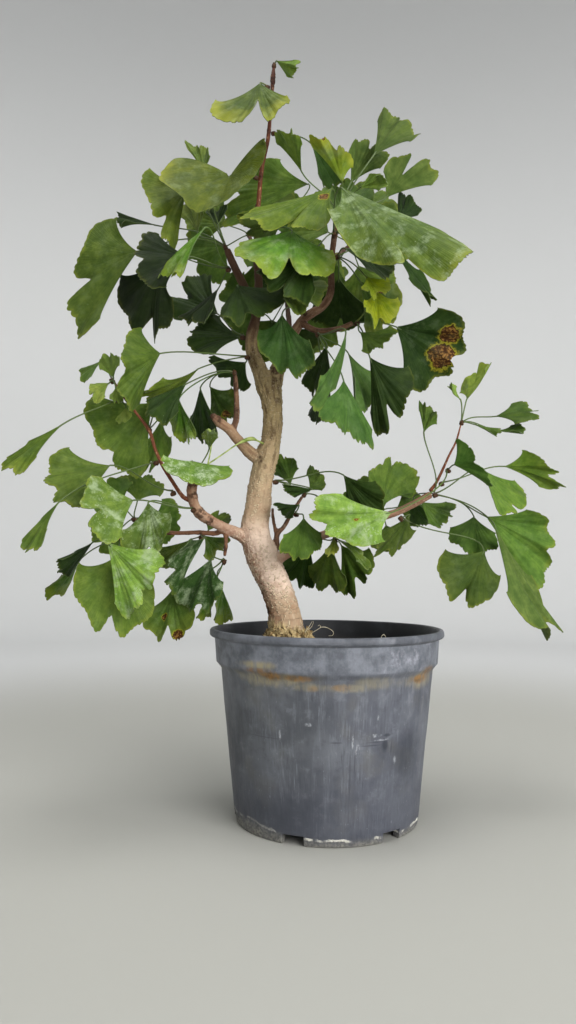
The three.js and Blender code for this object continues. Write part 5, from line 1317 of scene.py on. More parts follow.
def wood_material(name, settings, young):
    """Bark that follows its stem: "straight" holds a place in the stem pulled straight, in metres."""
    material, nodes = new_material(name, 0.5 if young else 0.72, 0.2)
    straight = nodes.attribute("straight", "Vector")
    thin, foot, dark = nodes.attribute("bark").channels()
    broad = straight.noise(55, 4, 0.6)
    grain = straight.stretched(1, 1, 0.22).noise(420, 4, 0.6)
    rings = straight.stretched(0.35, 0.35, 1.6).noise(330, 3, 0.6)
    if young:
        colour = broad.span(0.35, 0.65).mix(settings.young, "7d4a30")
        z = nodes.place().split()[2]
        colour = colour.stain((z.span(0.52, 0.6), 0.75, "4a261d"))
        lines = straight.stretched(1, 1, 0.12).noise(900, 3, 0.6)
        colour = colour.stain((lines.span(0.48, 0.66), 0.65, "3c2118"), (rings.span(0.52, 0.7), 0.5, "472a1e"))
        dots = straight.stretched(1, 1, 0.6).cells(420)
        colour = colour.stain((dots.span(0.36, 0.16), 0.55, "b08a68"))
        colour = dark.mix(colour, "27130d")
        height = grain + rings
        relief = 0.25
    else:
        x, _, z = nodes.place().split()
        colour = broad.span(0.38, 0.62).mix(settings.bark, "c0a98c")
        high = (z + broad * 0.08).span(0.26, 0.37)
        colour = colour.stain((high, 0.9, settings.olive))
        ridges = straight.stretched(1, 1, 0.2).noise(250, 5, 0.7)
        colour = colour.stain(
            (high, ridges.span(0.48, 0.62, 0, 0.9), "54422a"), (high, ridges.span(0.45, 0.33, 0, 0.6), "b59d6f"),
        )
        # painted light: the trunk is lightened between about 0.17 and 0.245 m high, where the leaves above cast shadow
        # on it
        painted_light_patch = z.span(0.245, 0.222) * z.span(0.166, 0.188)
        colour = colour.stain((painted_light_patch, straight.noise(34, 3).span(0.3, 0.6, 0.6, 1), "ecd3bf"))
        colour = thin.mix(colour, settings.warm)
        colour = colour.stain(
            (thin, ridges.span(0.45, 0.6, 0, 0.7), "7c4f38"), (thin, ridges.span(0.42, 0.3, 0, 0.5), "b8957a"),
        )
        twig = ridges.span(0.4, 0.6).mix("75553f", "3b2a20")
        colour = (thin.span(0.85, 1) * 0.9).mix(colour, twig)
        blotches = straight.noise(115, 4, 0.65)
        colour = colour.stain(
            (blotches.span(0.5, 0.66), z.span(0.28, 0.24, 0, 0.4), "a07a60"), (z.span(0.192, 0.172), 0.35, "9a7b5f"),
        )
        speckle = straight.stretched(0.8, 0.8, 1.5).noise(360, 5, 0.7)
        crowds = straight.noise(60, 2).span(0.42, 0.6, 0.25, 0.8).most(z.span(0.225, 0.185))
        colour = colour.stain(
            (speckle.span(0.5, 0.7), crowds * 0.3, "8a6a52"), (speckle.span(0.46, 0.34), crowds * 0.35, "dac6ab"),
        )
        # the lower trunk's left edge is stained scaly red-brown: partly rough bark and partly painted shade on the side
        # away from the light
        leaning = x + z * 0.33
        left = leaning.span(0.019, 0.007) * z.span(0.25, 0.215)
        scaly = straight.stretched(1, 1, 0.8).noise(330, 5, 0.75)
        colour = colour.stain((left, scaly.span(0.4, 0.58, 0.1, 0.8), "855940"))
        warts = straight.stretched(0.85, 0.85, 1.2).cells(440)
        wart = warts.span(0.42, 0.2) * (crowds * thin.span(0.55, 0.1))
        colour = colour.stain((wart, high.span(0, 1, 0.9, 0.35), settings.lenticel))
        straw = straight.noise(380, 4, 0.7).span(0.4, 0.56).mix("55401f", "d6c190")
        ragged = foot + (straight.noise(160, 4) - 0.5) * 0.9
        colour = (ragged.span(0.35, 0.75) * 0.85).mix(colour, straw)
        # scars, and the painted shade of the wood inside the crown, both darkened with the crack colour
        scar_and_shade_mask = (dark + (grain - 0.5) * 0.8).span(0.2, 0.7)
        colour = colour.stain((scar_and_shade_mask, 0.85, settings.crack_and_shade))
        height = speckle * 0.35 + ridges * high + wart * 1.5
        relief = 0.65
    nodes.finish(colour, height, relief, Roughness=grain.span(0.2, 0.8, *((0.4, 0.62) if young else (0.62, 0.9))))
    return material


# Rough places of the trunk: pruning scars, collars and old buds, as [x, z, y, radius, how proud, how dark]. The dark,
# barely proud marks at x -43, z 364 and x -44, z 356 are painted shadow where the second stem leaves the trunk.
SCARS = [
    [-62, 160, -4, 5, 1.2, 0.9], [-66, 218, -4, 6, 1.3, 0.35], [-40, 214, -8, 6.5, 1.2, 0.25],
    [-52, 298, -6, 5, 0.9, 0.3], [-42, 338, -6, 5, 0.8, 0.5], [-56, 352, -6, 5.5, 1, 0.35],
    [-97, 325, -13, 5.5, 2.2, 0.85], [-90, 322, -14, 4, 1.8, 0.9], [-49, 262, -10, 4, 0.5, 0.2],
    [-80, 230, -9, 4.2, 1.8, 0.85], [-105, 244, -22, 6.5, 2.8, 0.85], [-111, 258, -24, 5.5, 2.4, 0.8],
    [-47, 172, -11, 4.5, 0.5, 0.3], [-60, 412, 4, 4.6, 1, 0.6], [-21, 407, 8, 4.6, 1, 0.6],
    [3, 430, 6, 4.2, 0.9, 0.6], [24, 405, -4, 3.2, 0.8, 0.7], [-46, 164, -3, 6, 0.8, 0.8],
    [-51, 178, -3, 5.5, 0.8, 0.7], [-57, 192, -3, 5.5, 0.6, 0.6], [-61, 202, -3, 5, 0.5, 0.5],
    [-36, 160, -11, 4, 0.6, 0.2], [-24, 172, -9, 4, 0.6, 0.2], [-49, 318, -8, 4, 0.5, 0.3],
    [-44, 300, -8, 4, 0.6, 0.3], [-47.2, 617, 0, 8, 0.9, 0.9], [-49.5, 592, 0, 3, 0.5, 0.7],
    [-50.5, 572, 0, 3.5, 0.6, 0.8], [-57, 532, 2, 4, 0.7, 0.7], [-98, 238, -19, 5.5, 2.6, 0.85],
    # the last mark of this row and the first of the next are painted shadow in the fork
    [-112, 267, -25, 5.5, 2.4, 0.8], [-89, 318, -12, 5, 1, 0.4], [-43, 364, -2, 6, 0.3, 1],
    [-44, 356, -7, 3.6, 0.3, 0.8], [-55, 288, -7, 5, 0.9, 0.7], [-51, 282, -9, 4, 0.6, 0.5],
    [-76, 330, -6, 5, 0.7, 0.7], [-76, 350, -5, 6, 0.7, 0.8], [-104, 227, 0, 4, 0.8, 0.7],
    [-130, 227, 5, 4, 0.6, 0.7], [-84, 214, -8, 5, 0.8, 0.8], [-50, 350, -9, 5, 0.6, 0.45],
    [-40, 352, -6, 4, 0.6, 0.4], [-58, 366, -3, 4.5, 0.7, 0.4], [-63, 390, -1, 4.5, 0.8, 0.5],
    [86, 261, -16, 4, 1.1, 0.7], [-28, 190, -6, 4, 0.6, 0.35], [-52, 187, -10, 4, 0.7, 0.5],
    [-59, 446, 5, 4, 0.8, 0.7],
]


SHOOT_VOXEL = 0.65 * MM


def build_wood(names, name, settings, voxel, young):
    stems = Stems(names)
    tubes = []
    for stem in (rows for part in names for rows in WOOD[part]):
        places, radii = resampled(stem, 3.0)
        tubes.append(tube("stem", places, radii - 0.3 if young else radii + 0.12, 20 if radii.max() > 6 else 12))
    obj = join(tubes, name)
    apply_modifier(obj, "REMESH", mode="VOXEL", voxel_size=voxel)
    apply_modifier(obj, "SMOOTH", factor=0.5, iterations=3 if young else 6)

    places, normals = places_of(obj), vertices_of(obj, "normal")
    radius, straight = stems.beside(places)
    size = np.minimum(1.0, radius / 9.0)
    relief = settings.relief / MM

    def bumps(across, along, layer=0.0):
        return np.array([noise_at(x / across, y / across, z / along + layer) for x, y, z in straight])

    out = 1.1 * bumps(9.0, 15.0) + 0.7 * bumps(3.4, 2.6, 31.0)
    out *= relief * size
    if not young:
        warty = np.maximum(0.0, bumps(2.0, 1.7) - 0.22)
        ridge = abs(bumps(3.2, 18.0, 5.0)) * smoothstep(places[:, 2], 300.0, 370.0)
        out += relief * size * (2.3 * warty * smoothstep(radius, 3.0, 8.0) - 1.6 * ridge)
    dark = np.zeros(len(places))
    for x, z, y, reach, proud, shade in SCARS:
        gap = np.linalg.norm(places - at([x, z, y]), axis=1) / reach
        bulge = np.exp(-2.0 * gap * gap)
        lumpy = np.array([noise_at(*(p / 1.7)) if g < 2.0 else 0.0 for p, g in zip(places, gap)])
        out += proud * bulge * (0.35 + 0.9 * lumpy)
        dark = np.maximum(dark, shade * np.clip(bulge * (1.1 + 1.4 * lumpy), 0.0, 1.0))
    put_places(obj, places + normals * out[:, None])

    if not young:
        # painted shade: the wood inside the crown, from about 355 to 425 mm up, is darkened, a little less on the right
        right = smoothstep(places[:, 0], -40.0, -10.0)
        dark = np.maximum(dark, 0.8 * smoothstep(places[:, 2], 355.0, 425.0) * (1.0 - 0.35 * right))
    thin = 1.0 - smoothstep(radius, 2.4, 6.5)
    foot = 1.0 - smoothstep(places[:, 2] + 0.35 * (places[:, 0] - TRUNK_FOOT[0]), 141.0, 166.0)
    put_attribute(obj, "bark", np.stack([thin, foot, dark, np.ones(len(places))], axis=1))
    put_attribute(obj, "straight", straight * MM, "FLOAT_VECTOR", "vector", 3)
    put_materials(obj, wood_material(f"{name}_bark", settings, young))
    smooth(obj)
    return obj


class GINKGO_OT_wood(bpy.types.Operator):
    """Grow the trunk with its branches and twigs as one warty, blended piece of wood"""

    bl_idname = "ginkgo.wood"
    bl_label = "Trunk and branches"

    def execute(self, context):
        settings = context.scene.ginkgo_wood
        ridden(build_wood(["trunk"], "trunk_wood", settings, settings.voxel, False), "bark", "trunk")
        return {"FINISHED"}


class GINKGO_OT_shoots(bpy.types.Operator):
    """Grow this year's red-brown shoots, each in place of its solid"""

    bl_idname = "ginkgo.shoots"
    bl_label = "Young shoots"

    def execute(self, context):
        settings = context.scene.ginkgo_wood
        for node in ("shoot_leader", "shoot_left", "shoot_right"):
            ridden(build_wood([node], f"{node}_wood", settings, SHOOT_VOXEL, True), "young_bark", node)
        return {"FINISHED"}


# ---------------- pot


def pot_angle(nodes):
    """The angle round the pot from its front, to the right, with the height in metres."""
    x, y, z = nodes.place().split()
    angle = nodes.math("ARCTAN2", x, y * -1.0)
    return nodes.wires("ShaderNodeCombineXYZ", X=angle, Y=z)[0], z


# Patches on the pot's wall by their kind, which has a raggedness and rows of [angle in degrees, height, half width in
# degrees, half height, strength].
WALL_PATCHES = {
    "dark": (1.2, [
        [29, 72, 2.6, 7, 0.85], [30, 79, 3, 1.8, 0.8], [47, 62, 18, 26, 0.6], [-30, 26, 34, 20, 0.3],
        [2.5, 75.5, 5, 0.7, 0.7], [20, 72.5, 7, 0.5, 0.55], [-36, 76, 16, 0.5, 0.35], [-66, 60, 12, 45, 0.3],
        [9.5, 52, 0.9, 30, 0.35], [6, 60, 0.7, 22, 0.3], [12, 60, 0.5, 16, 0.45], [24, 74.8, 9, 0.5, 0.5],
        [33, 69, 0.8, 9, 0.5],
    ]),
    "ochre": (1.5, [
        [-38, 128.5, 15, 4.2, 0.8], [-32, 119, 25, 7, 0.55], [-10, 114.5, 13, 4.2, 0.4], [8, 114, 14, 4, 0.36],
        [22, 117.5, 15, 5.5, 0.28], [50, 116, 22, 8.5, 0.5], [100, 119, 40, 5, 0.5], [-95, 121, 36, 5, 0.5],
        [175, 118, 30, 5, 0.5],
    ]),
    "rust": (1.3, [
        [-38, 124.5, 13, 3.4, 0.75], [-30, 121.5, 9, 4.6, 1], [-16, 120.5, 12, 3.2, 0.8], [50, 117, 13, 4.6, 0.85],
        [58, 121.5, 8, 5.5, 0.75], [4, 114.5, 6, 3, 0.5], [-9, 113.5, 4, 3.4, 0.4],
    ]),
    "white": (1.1, [
        [-11.5, 88, 2.2, 1.8, 0.42], [13.5, 69, 1.5, 6.5, 0.65], [10.6, 76, 0.7, 6, 0.5], [-27, 79, 0.8, 6, 0.45],
        [22, 79.5, 5.5, 1.6, 0.45], [27, 76, 6, 1, 0.35], [36, 60, 1.4, 4, 0.35], [24, 92, 0.8, 3, 0.4],
    ]),
}


def pot_material(settings):
    material, nodes = new_material("weathered_plastic", 0.6, 0.4)
    place = nodes.place()
    wall, height = pot_angle(nodes)
    out = nodes.vector("NORMALIZE", place.stretched(1, 1, 0))

    def streaky(count, run, detail=3.0):
        row = nodes.vector("ADD", out.stretched(count, count, 0), place.stretched(0, 0, run))
        return row.noise(1, detail, 0.6)

    fine, wide = streaky(62.0, 70.0, 5.0), streaky(14.0, 24.0, 5.0)
    cloud = place.noise(38, 5, 0.62)
    grit = place.noise(520, 4, 0.6)
    blue = place.noise(14, 3)
    x, _, _ = place.split()
    side = (x + (blue - 0.5) * 0.12).span(-0.06, 0.06)
    soft = place.noise(24, 4, 0.6)
    plastic = side.mix(settings.plastic, "51545e")
    plastic = plastic.stain(
        (soft.span(0.42, 0.66), 0.5, settings.faded), (soft.span(0.44, 0.3), 0.3, "3b3e45"),
        (wide.span(0.45, 0.7), 0.35, "6f737b"),
    )
    patchy = (cloud + (wide - 0.5) * 0.6).span(0.4, 0.62, 0.1, 1)
    plastic = plastic.stain(
        (fine.span(0.5, 0.72), patchy * 0.42, "8b9098"), (fine.span(0.47, 0.28), patchy * 0.6, "33353c"),
    )
    mottle = place.noise(95, 5, 0.7)
    plastic = plastic.stain(
        (mottle.span(0.52, 0.7), 0.35, "7c7f88"), (mottle.span(0.46, 0.32), 0.3, "3f4148"),
        (place.noise(33, 3).span(0.54, 0.7), 0.3, "66645c"),
    )
    low_part = height.span(0.075, 0.015)
    plastic = plastic.stain((low_part, 0.5, "3c3f4b"))
    collar = height.span(0.1215, 0.1255)
    pale = place.noise(62, 6, 0.68).span(0.36, 0.66).mix("53575f", "7b7f88")
    bloom = place.noise(75, 4, 0.65).span(0.55, 0.72) * x.span(-0.05, 0.05, 0.25, 0.8)
    pale = bloom.mix(pale, "a3a4ae")
    pale = pale.stain((fine.span(0.5, 0.8), 0.15, "9a9fa6"))
    colour = (collar * 0.9).mix(plastic, pale)
    lip = height.span(0.1425, 0.1445)
    colour = (lip * 0.75).mix(colour, cloud.span(0.4, 0.7).mix("43464d", "74777f"))

    rusty = place.noise(240, 3).span(0.4, 0.62).mix(settings.rust, "5f4526")
    tints = {"rust": rusty, "ochre": settings.ochre, "white": "c6cad0", "dark": "2b2f39"}
    for kind, (ragged, patches) in WALL_PATCHES.items():
        total = None
        for angle, high, half, tall, strength in patches:
            mask = nodes.group(
                stain_patch, Place=wall, Centre=(radians(angle), high * MM, 0.0),
                Size=(radians(half), tall * MM, 1.0), Ragged=ragged, Noise=wide if kind == "white" else cloud,
            )["Mask"] * strength
            total = mask if total is None else total.most(mask)
        if kind in ("rust", "ochre"):
            total = total * streaky(26, 90, 5).span(0.34, 0.6, 0.3, 1)
        if kind == "white":
            total = total * place.stretched(1, 1, 0.5).noise(420, 4, 0.7).span(0.42, 0.6)
        colour = total.mix(colour, tints[kind])

    slope = nodes.vector("ADD", wall.stretched(60, 0, 0), place.stretched(0, 0, 900))
    cuts = slope.stretched(1, 1, 0.35).noise(1, 1)
    scratch = cuts.span(0.70, 0.74) * soft.span(0.4, 0.6)
    colour = colour.stain((scratch, 0.35, "8d919b"))
    dots = nodes.group(specks, Place=place, Scale=420.0, Amount=0.05)["Mask"]
    colour = colour.stain((dots, 0.7, "c2c5cb"))

    coarse = place.noise(65, 5, 0.65) - 0.5
    low = height + coarse * 0.009
    left_foot = x.span(-0.02, -0.06, 0, 0.007)
    dust = low.span(0.0075 + left_foot, left_foot * 0.6)
    crumbs = grit.span(0.35, 0.65).mix("5f5e5a", "8e8c84")
    colour = (dust * mottle.span(0.35, 0.6, 0.5, 0.95)).mix(colour, crumbs)
    band = nodes.math("ABSOLUTE", low - (0.0052 + left_foot * 0.9))
    broken = place.stretched(1, 1, 0.3).noise(55, 4, 0.6).span(0.45, 0.56)
    crust_line = band.span(0.0013, 0.0004) * (broken * x.span(-0.028, -0.045, 1, 0.25))
    colour = (crust_line * 0.9).mix(colour, grit.span(0.35, 0.65).mix(settings.lime, "eeece4"))
    worn = nodes.math("ADD", fine.span(0.3, 0.7, 0.46, 0.66), dust.most(dots) * 0.25, clamp=True)
    nodes.finish(colour, grit * 0.6 + (fine + crust_line * 3.0), 0.12, Roughness=worn)
    return material


def inside_material(settings):
    material, nodes = new_material("inner_plastic", 0.55, 0.4)
    place = nodes.place()
    cloud = place.noise(45, 4, 0.6)
    colour = cloud.span(0.45, 0.75).mix(settings.inside, "34363b")
    _, _, z = place.split()
    splash = (z + cloud * 0.012).span(0.144, 0.133) * 0.5
    colour = splash.mix(colour, "3a3027")
    nodes.finish(colour, place.noise(400, 3), 0.08, Roughness=cloud.span(0.3, 0.7, 0.45, 0.65))
    return material


POT_SIDES = 144


def wall_at(z):
    """The outer radius of the tapered wall at a height."""
    slope = (POT.wall_top_radius - POT.wall_foot_radius) / (POT.collar_foot - 5.0)
    return POT.wall_foot_radius + slope * z


def pot_profile():
    """The wall's section as [radius, height], from the middle of the underside over the rim to the inner floor."""
    top, rim, collar, wall, pad = POT.height, POT.rim_radius, POT.collar_radius, POT.wall, POT.pad_radius
    foot, low, step, floor = POT.wall_foot_radius, POT.collar_foot_radius, POT.collar_foot, POT.floor
    ring, floor_top = foot - POT.foot_width, floor + POT.floor_thick
    outside = [
        (1.0, 0.0), (pad - 0.6, 0.0), (pad + 0.2, 0.6), (pad + 3.0, floor), (45.0, floor), (ring - 1.0, floor),
        (ring, 0.5), (ring + 0.6, 0.0), (foot - 1.6, 0.0), (foot - 0.5, 0.5), (wall_at(1.8), 1.8),
        (wall_at(8.0), 8.0), (wall_at(9.0) + 0.15, 9.0),
    ]
    outside += [(wall_at(z), float(z)) for z in (16, 30, 45, 60, 75, 90, 105, 115)]
    outside += [
        (wall_at(119.0), 119.0), (wall_at(119.0) + 0.9, 120.4), (low - 1.1, step - 1.3), (low, step),
        (low + 0.2, 126.0), (lerp(low, collar, 0.5), 134.0), (collar - 0.1, top - 8.0), (collar, top - 7.0),
        (collar + 1.0, top - 6.3), (rim - 1.0, top - 5.7), (rim - 0.1, top - 4.6), (rim, top - 3.2),
        (rim - 0.2, top - 1.4), (rim - 1.0, top - 0.3), (rim - 2.2, top), (rim - 3.8, top - 0.1),
        (rim - 5.0, top - 0.9),
    ]
    inner = POT.wall_top_radius - wall
    inside = [
        (collar - wall, top - 4.0), (collar - wall - 0.5, 138.0), (low - wall, step + 1.0), (inner + 0.3, step - 3.5),
        (inner, step - 5.0), (wall_at(60.0) - wall, 60.0), (wall_at(floor_top) - wall, floor_top),
        (pad + 2.0, floor_top), (pad - 2.0, POT.floor_thick), (1.0, POT.floor_thick),
    ]
    return outside, inside


def build_pot(settings):
    outside, inside = pot_profile()
    (first, low), *rest = [*outside, *inside]
    obj = new_primitive(
        bpy.ops.mesh.primitive_circle_add, "nursery_pot", vertices=POT_SIDES, radius=first * MM, fill_type="NGON",
        location=(0.0, 0.0, low * MM),
    )
    edit(obj)
    radius, height = first, low
    for next_radius, next_height in rest:
        extrude((next_height - height) * MM, next_radius / radius)
        radius, height = next_radius, next_height
    close_edit()
    bpy.ops.object.transform_apply()

    def ring_place(reach, angle, z):
        return reach * cos(angle) * MM, reach * sin(angle) * MM, z * MM

    cutters = []
    for i in range(NOTCH.count):
        angle = radians(NOTCH.first + 360.0 / NOTCH.count * i - 90.0)
        cutter = new_primitive(bpy.ops.mesh.primitive_cube_add, "notch_cutter", size=1.0)
        cutter.scale = (24.0 * MM, NOTCH.width * MM, 2.0 * NOTCH.height * MM)
        cutter.rotation_euler = (0.0, 0.0, angle)
        cutter.location = ring_place(POT.wall_foot_radius - POT.wall, angle, 0.0)
        cutters.append(cutter)
    for i in range(DRAIN.count):
        angle = radians(NOTCH.first + 360.0 / DRAIN.count * (i + 0.5) - 90.0)
        cutters.append(new_primitive(
            bpy.ops.mesh.primitive_cylinder_add, "drain_cutter", vertices=24, radius=DRAIN.radius * MM,
            depth=20.0 * MM, location=ring_place(DRAIN.circle, angle, POT.floor),
        ))
    cutter = join(cutters, "pot_cutter")
    bpy.ops.object.transform_apply()
    apply_modifier(obj, "BOOLEAN", operation="DIFFERENCE", object=cutter, solver="EXACT")
    drop(cutter)
    apply_modifier(
        obj, "BEVEL", width=0.35 * MM, segments=2, limit_method="ANGLE", angle_limit=radians(50.0),
        use_clamp_overlap=True,
    )

    places = places_of(obj)
    angle = np.arctan2(places[:, 1], places[:, 0])
    radius = np.hypot(places[:, 0], places[:, 1])
    round_off = np.array([
        noise_at(1.3 * cos(a), 1.3 * sin(a), z / 70.0) + 0.35 * noise_at(5.0 * cos(a), 5.0 * sin(a), z / 16.0)
        for a, z in zip(angle, places[:, 2])
    ])
    high = smoothstep(places[:, 2], 8.0, 60.0) * smoothstep(radius, 60.0, 70.0)
    moved = settings.wobble / MM * round_off * high
    places[:, 0] += moved * np.cos(angle)
    places[:, 1] += moved * np.sin(angle)
    places[:, 2] += 0.4 * settings.wobble / MM * smoothstep(places[:, 2], 130.0, 148.0) * round_off
    places[:, 2] = np.minimum(places[:, 2], POT.height + 0.3)
    put_places(obj, places)

    put_materials(obj, pot_material(settings), inside_material(settings))
    inner = []
    for face in obj.data.polygons:
        x, y, z = face.center / MM
        reach = hypot(x, y)
        facing_in = face.normal.x * x + face.normal.y * y < -0.2 * reach
        above = z > POT.floor_thick and (facing_in and reach > 60.0 and z > 9.0 or face.normal.z > 0.5 and z < 20.0)
        inner.append(int(above))
    obj.data.polygons.foreach_set("material_index", inner)
    smooth(obj, 35.0)
    return obj


class GINKGO_OT_pot(bpy.types.Operator):
    """Turn the round nursery pot, cut its drain notches and holes, and weather it"""

    bl_idname = "ginkgo.pot"
    bl_label = "Nursery pot"

    def execute(self, context):
        ridden(build_pot(context.scene.ginkgo_pot), "pot_plastic", "pot")
        return {"FINISHED"}


# ---------------- potting mix and litter


def ground_height(x, y):
    """The mix's height at a place: flat, with a low mound round the trunk, in millimetres."""
    away = hypot(x - TRUNK_FOOT[0], y - TRUNK_FOOT[1])
    slope = (SOIL.mound - SOIL.edge) * 2.0 / (SOIL.mound_radius - SOIL.mound_top)
    mound = SOIL.mound - max(0.0, away - SOIL.mound_top) * slope
    return max(SOIL.edge, min(SOIL.mound, mound))


def soil_material(settings):
    material, nodes = new_material("potting_mix", 0.95, 0.2)
    place = nodes.place()
    crumbs = place.noise(300, 5, 0.7)
    clods = place.cells(190)
    colour = crumbs.span(0.35, 0.65).mix("231a13", settings.mix)
    colour = colour.stain((clods.span(0.3, 0.05), 0.5, "6a5138"))
    grains = nodes.group(specks, Place=place, Scale=520.0, Amount=0.5)["Mask"]
    colour = grains.mix(colour, "a08a66")
    nodes.finish(colour, crumbs + clods, 1.4)
    return material


def litter_material(name, dark, light, scale):
    material, nodes = new_material(name, 0.85, 0.25)
    place = nodes.place()
    grain = place.stretched(1, 0.4, 1).noise(scale, 4, 0.65)
    patches = place.noise(130, 2)
    colour = grain.span(0.3, 0.7).mix(dark, light)
    colour = colour.stain((patches.span(0.48, 0.72), 0.5, "4a3826"))
    nodes.finish(colour, grain, 0.3)
    return material


SOIL_RINGS = 30
SOIL_GAP = 0.4  # between the mix and the pot's wall


def build_soil(settings):
    outer = POT.collar_foot_radius - POT.wall - SOIL_GAP
    obj = new_primitive(
        bpy.ops.mesh.primitive_circle_add, "potting_mix", vertices=120, radius=outer * MM, fill_type="NGON",
        location=(0.0, 0.0, SOIL.edge * MM),
    )
    edit(obj)
    for _ in range(SOIL_RINGS):
        bpy.ops.mesh.inset(thickness=outer * MM / (SOIL_RINGS + 1.2))
    bpy.ops.mesh.poke()
    edit_rim(obj)
    height = SOIL.edge
    for low, wall in ((SOIL.shoulder, POT.wall_top_radius), (SOIL.bottom, wall_at(SOIL.bottom))):
        wide = wall - POT.wall - SOIL_GAP
        extrude((low - height) * MM, wide / outer)
        outer, height = wide, low
    bpy.ops.mesh.edge_face_add()
    close_edit()
    bpy.ops.object.transform_apply()

    places = places_of(obj)
    lump = settings.lump / MM
    for place in places:
        if place[2] > SOIL.edge - 1.0:
            x, y = place[:2]
            edge = smoothstep(hypot(x, y), 87.5, 80.0)
            rough = lump * (noise_at(x / 11.0, y / 11.0) + 0.6 * noise_at(x / 4.0, y / 4.0, 7.0)) - 0.25 * lump
            place[2] = ground_height(x, y) + rough * edge
    put_places(obj, places)
    put_materials(obj, soil_material(settings))
    smooth(obj, 60.0)
    return obj


def lump_template(sizes, seed):
    """A rough flat lump for chips and flakes, in millimetres along each axis."""
    obj = new_primitive(bpy.ops.mesh.primitive_cube_add, "lump_template", size=MM)
    edit(obj)
    bpy.ops.mesh.subdivide(number_cuts=1)
    bpy.ops.object.mode_set(mode="OBJECT")
    places = places_of(obj) * np.array(sizes)
    shake = [[noise_at(1.7 * x + seed, 1.7 * y, 1.7 * z + k) for k in (0.0, 9.0, 18.0)] for x, y, z in places]
    put_places(obj, places + np.array(shake) * 0.45 * np.array(sizes))
    return obj


def scatter(templates, name, spots, material):
    """Copies of the templates at spots, each a place, the way its flat side faces, a turn and a size."""
    copies = []
    for i, (place, facing, turn, size) in enumerate(spots):
        obj = copy_of(templates[i % len(templates)], name)
        turned = Vector(facing).to_track_quat("Z", "Y").to_matrix() @ Matrix.Rotation(turn, 3, "Z")
        put_places(obj, places_of(obj) * size @ np.array(turned).T + np.asarray(place))
        copies.append(obj)
    drop(*templates)
    litter = join(copies, name)
    put_materials(litter, material)
    smooth(litter, 30.0)
    return litter


CHIPS, FLAKES = 420, 340
CHIP_SIZES = (6.0, 3.2, 1.6), (4.2, 3.4, 2.0), (8.0, 2.6, 1.4)
FLAKE_SIZES = (8.5, 2.6, 0.7), (6.0, 3.4, 0.8), (11.0, 1.9, 0.6)
CHIP_REACH = 84.0  # how far from the pot's middle chips lie
BARE_RADIUS = 16.5  # round the trunk, without chips


def build_chips(settings):
    chance = random.Random(31)
    templates = [lump_template(size, 3.0 * k) for k, size in enumerate(CHIP_SIZES)]
    spots = []
    while len(spots) < CHIPS:
        reach, turn = CHIP_REACH * sqrt(chance.random()), chance.uniform(0.0, 2.0 * pi)
        x, y = reach * cos(turn), reach * sin(turn)
        if hypot(x - TRUNK_FOOT[0], y - TRUNK_FOOT[1]) < BARE_RADIUS:
            continue
        tilt = (chance.gauss(0.0, 0.45), chance.gauss(0.0, 0.45), 1.0)
        size = chance.uniform(0.45, 1.0)
        spots.append(((x, y, ground_height(x, y) + chance.uniform(-0.2, 0.9)), tilt, chance.uniform(0.0, 6.3), size))
    return scatter(templates, "bark_chips", spots, litter_material("bark_chip", settings.mix, settings.chip, 420.0))


def build_flakes(settings):
    """Dry straw-coloured flakes that stand round the trunk's foot and lie on the mound."""
    chance = random.Random(47)
    templates = [lump_template(size, 5.0 * k) for k, size in enumerate(FLAKE_SIZES)]
    spots = []
    for i in range(FLAKES):
        turn = chance.uniform(0.0, 2.0 * pi)
        standing = i % 3 != 0
        reach = chance.uniform(14.2, 18.0) if standing else chance.uniform(15.5, 27.0)
        if cos(turn) > 0.3:
            reach += chance.uniform(0.0, 4.0 if standing else 12.0)
        elif cos(turn) < -0.4:
            reach = chance.uniform(13.6, 15.4)
        x, y = TRUNK_FOOT[0] + reach * cos(turn), TRUNK_FOOT[1] + reach * sin(turn)
        out = (cos(turn), sin(turn))
        if standing:
            rise = chance.uniform(0.0, 8.0 if out[0] < 0.2 else 6.0)
            place = (x - 0.12 * rise * out[0], y - 0.12 * rise * out[1], SOIL.mound - 0.5 + rise)
            facing = (out[0] + chance.gauss(0, 0.35), out[1] + chance.gauss(0, 0.35), chance.uniform(-0.1, 0.7))
        else:
            place = (x, y, ground_height(x, y) + chance.uniform(0.3, 2.4))
            facing = (out[0] * 0.4 + chance.gauss(0, 0.5), out[1] * 0.4 + chance.gauss(0, 0.5), 1.0)
        spots.append((place, facing, chance.uniform(0.0, 6.3), chance.uniform(0.5, 1.05)))
    return scatter(templates, "straw_flakes", spots, litter_material("dry_flake", "7d6139", settings.straw, 420.0))


# Fine pale roots that curl out of the mix right of the trunk: real places [x, y, z] in millimetres.
ROOTLETS = [
    [(-18, -12, 147), (-15, -13, 151), (-13, -14, 154.5), (-12, -14, 156)],
    [(-17, -12, 150), (-14.5, -14, 149.5), (-12.5, -15, 152), (-11, -15, 155), (-11.5, -15, 156.5)],
    [(-12, -13, 147), (-8, -14, 149.5), (-5, -15, 151.5), (-6, -15, 153.5), (-7.5, -15, 152.5)],
    [(-6, -15, 151.5), (-2, -15, 151.8), (1, -15, 150.8), (4, -16, 149), (5.2, -16, 147), (4, -17, 145), (1, -17, 145)],
    [(36, -64, 142), (37, -66, 149), (38.5, -67, 150.8), (40, -67, 149.6), (40.5, -67, 145)],
]


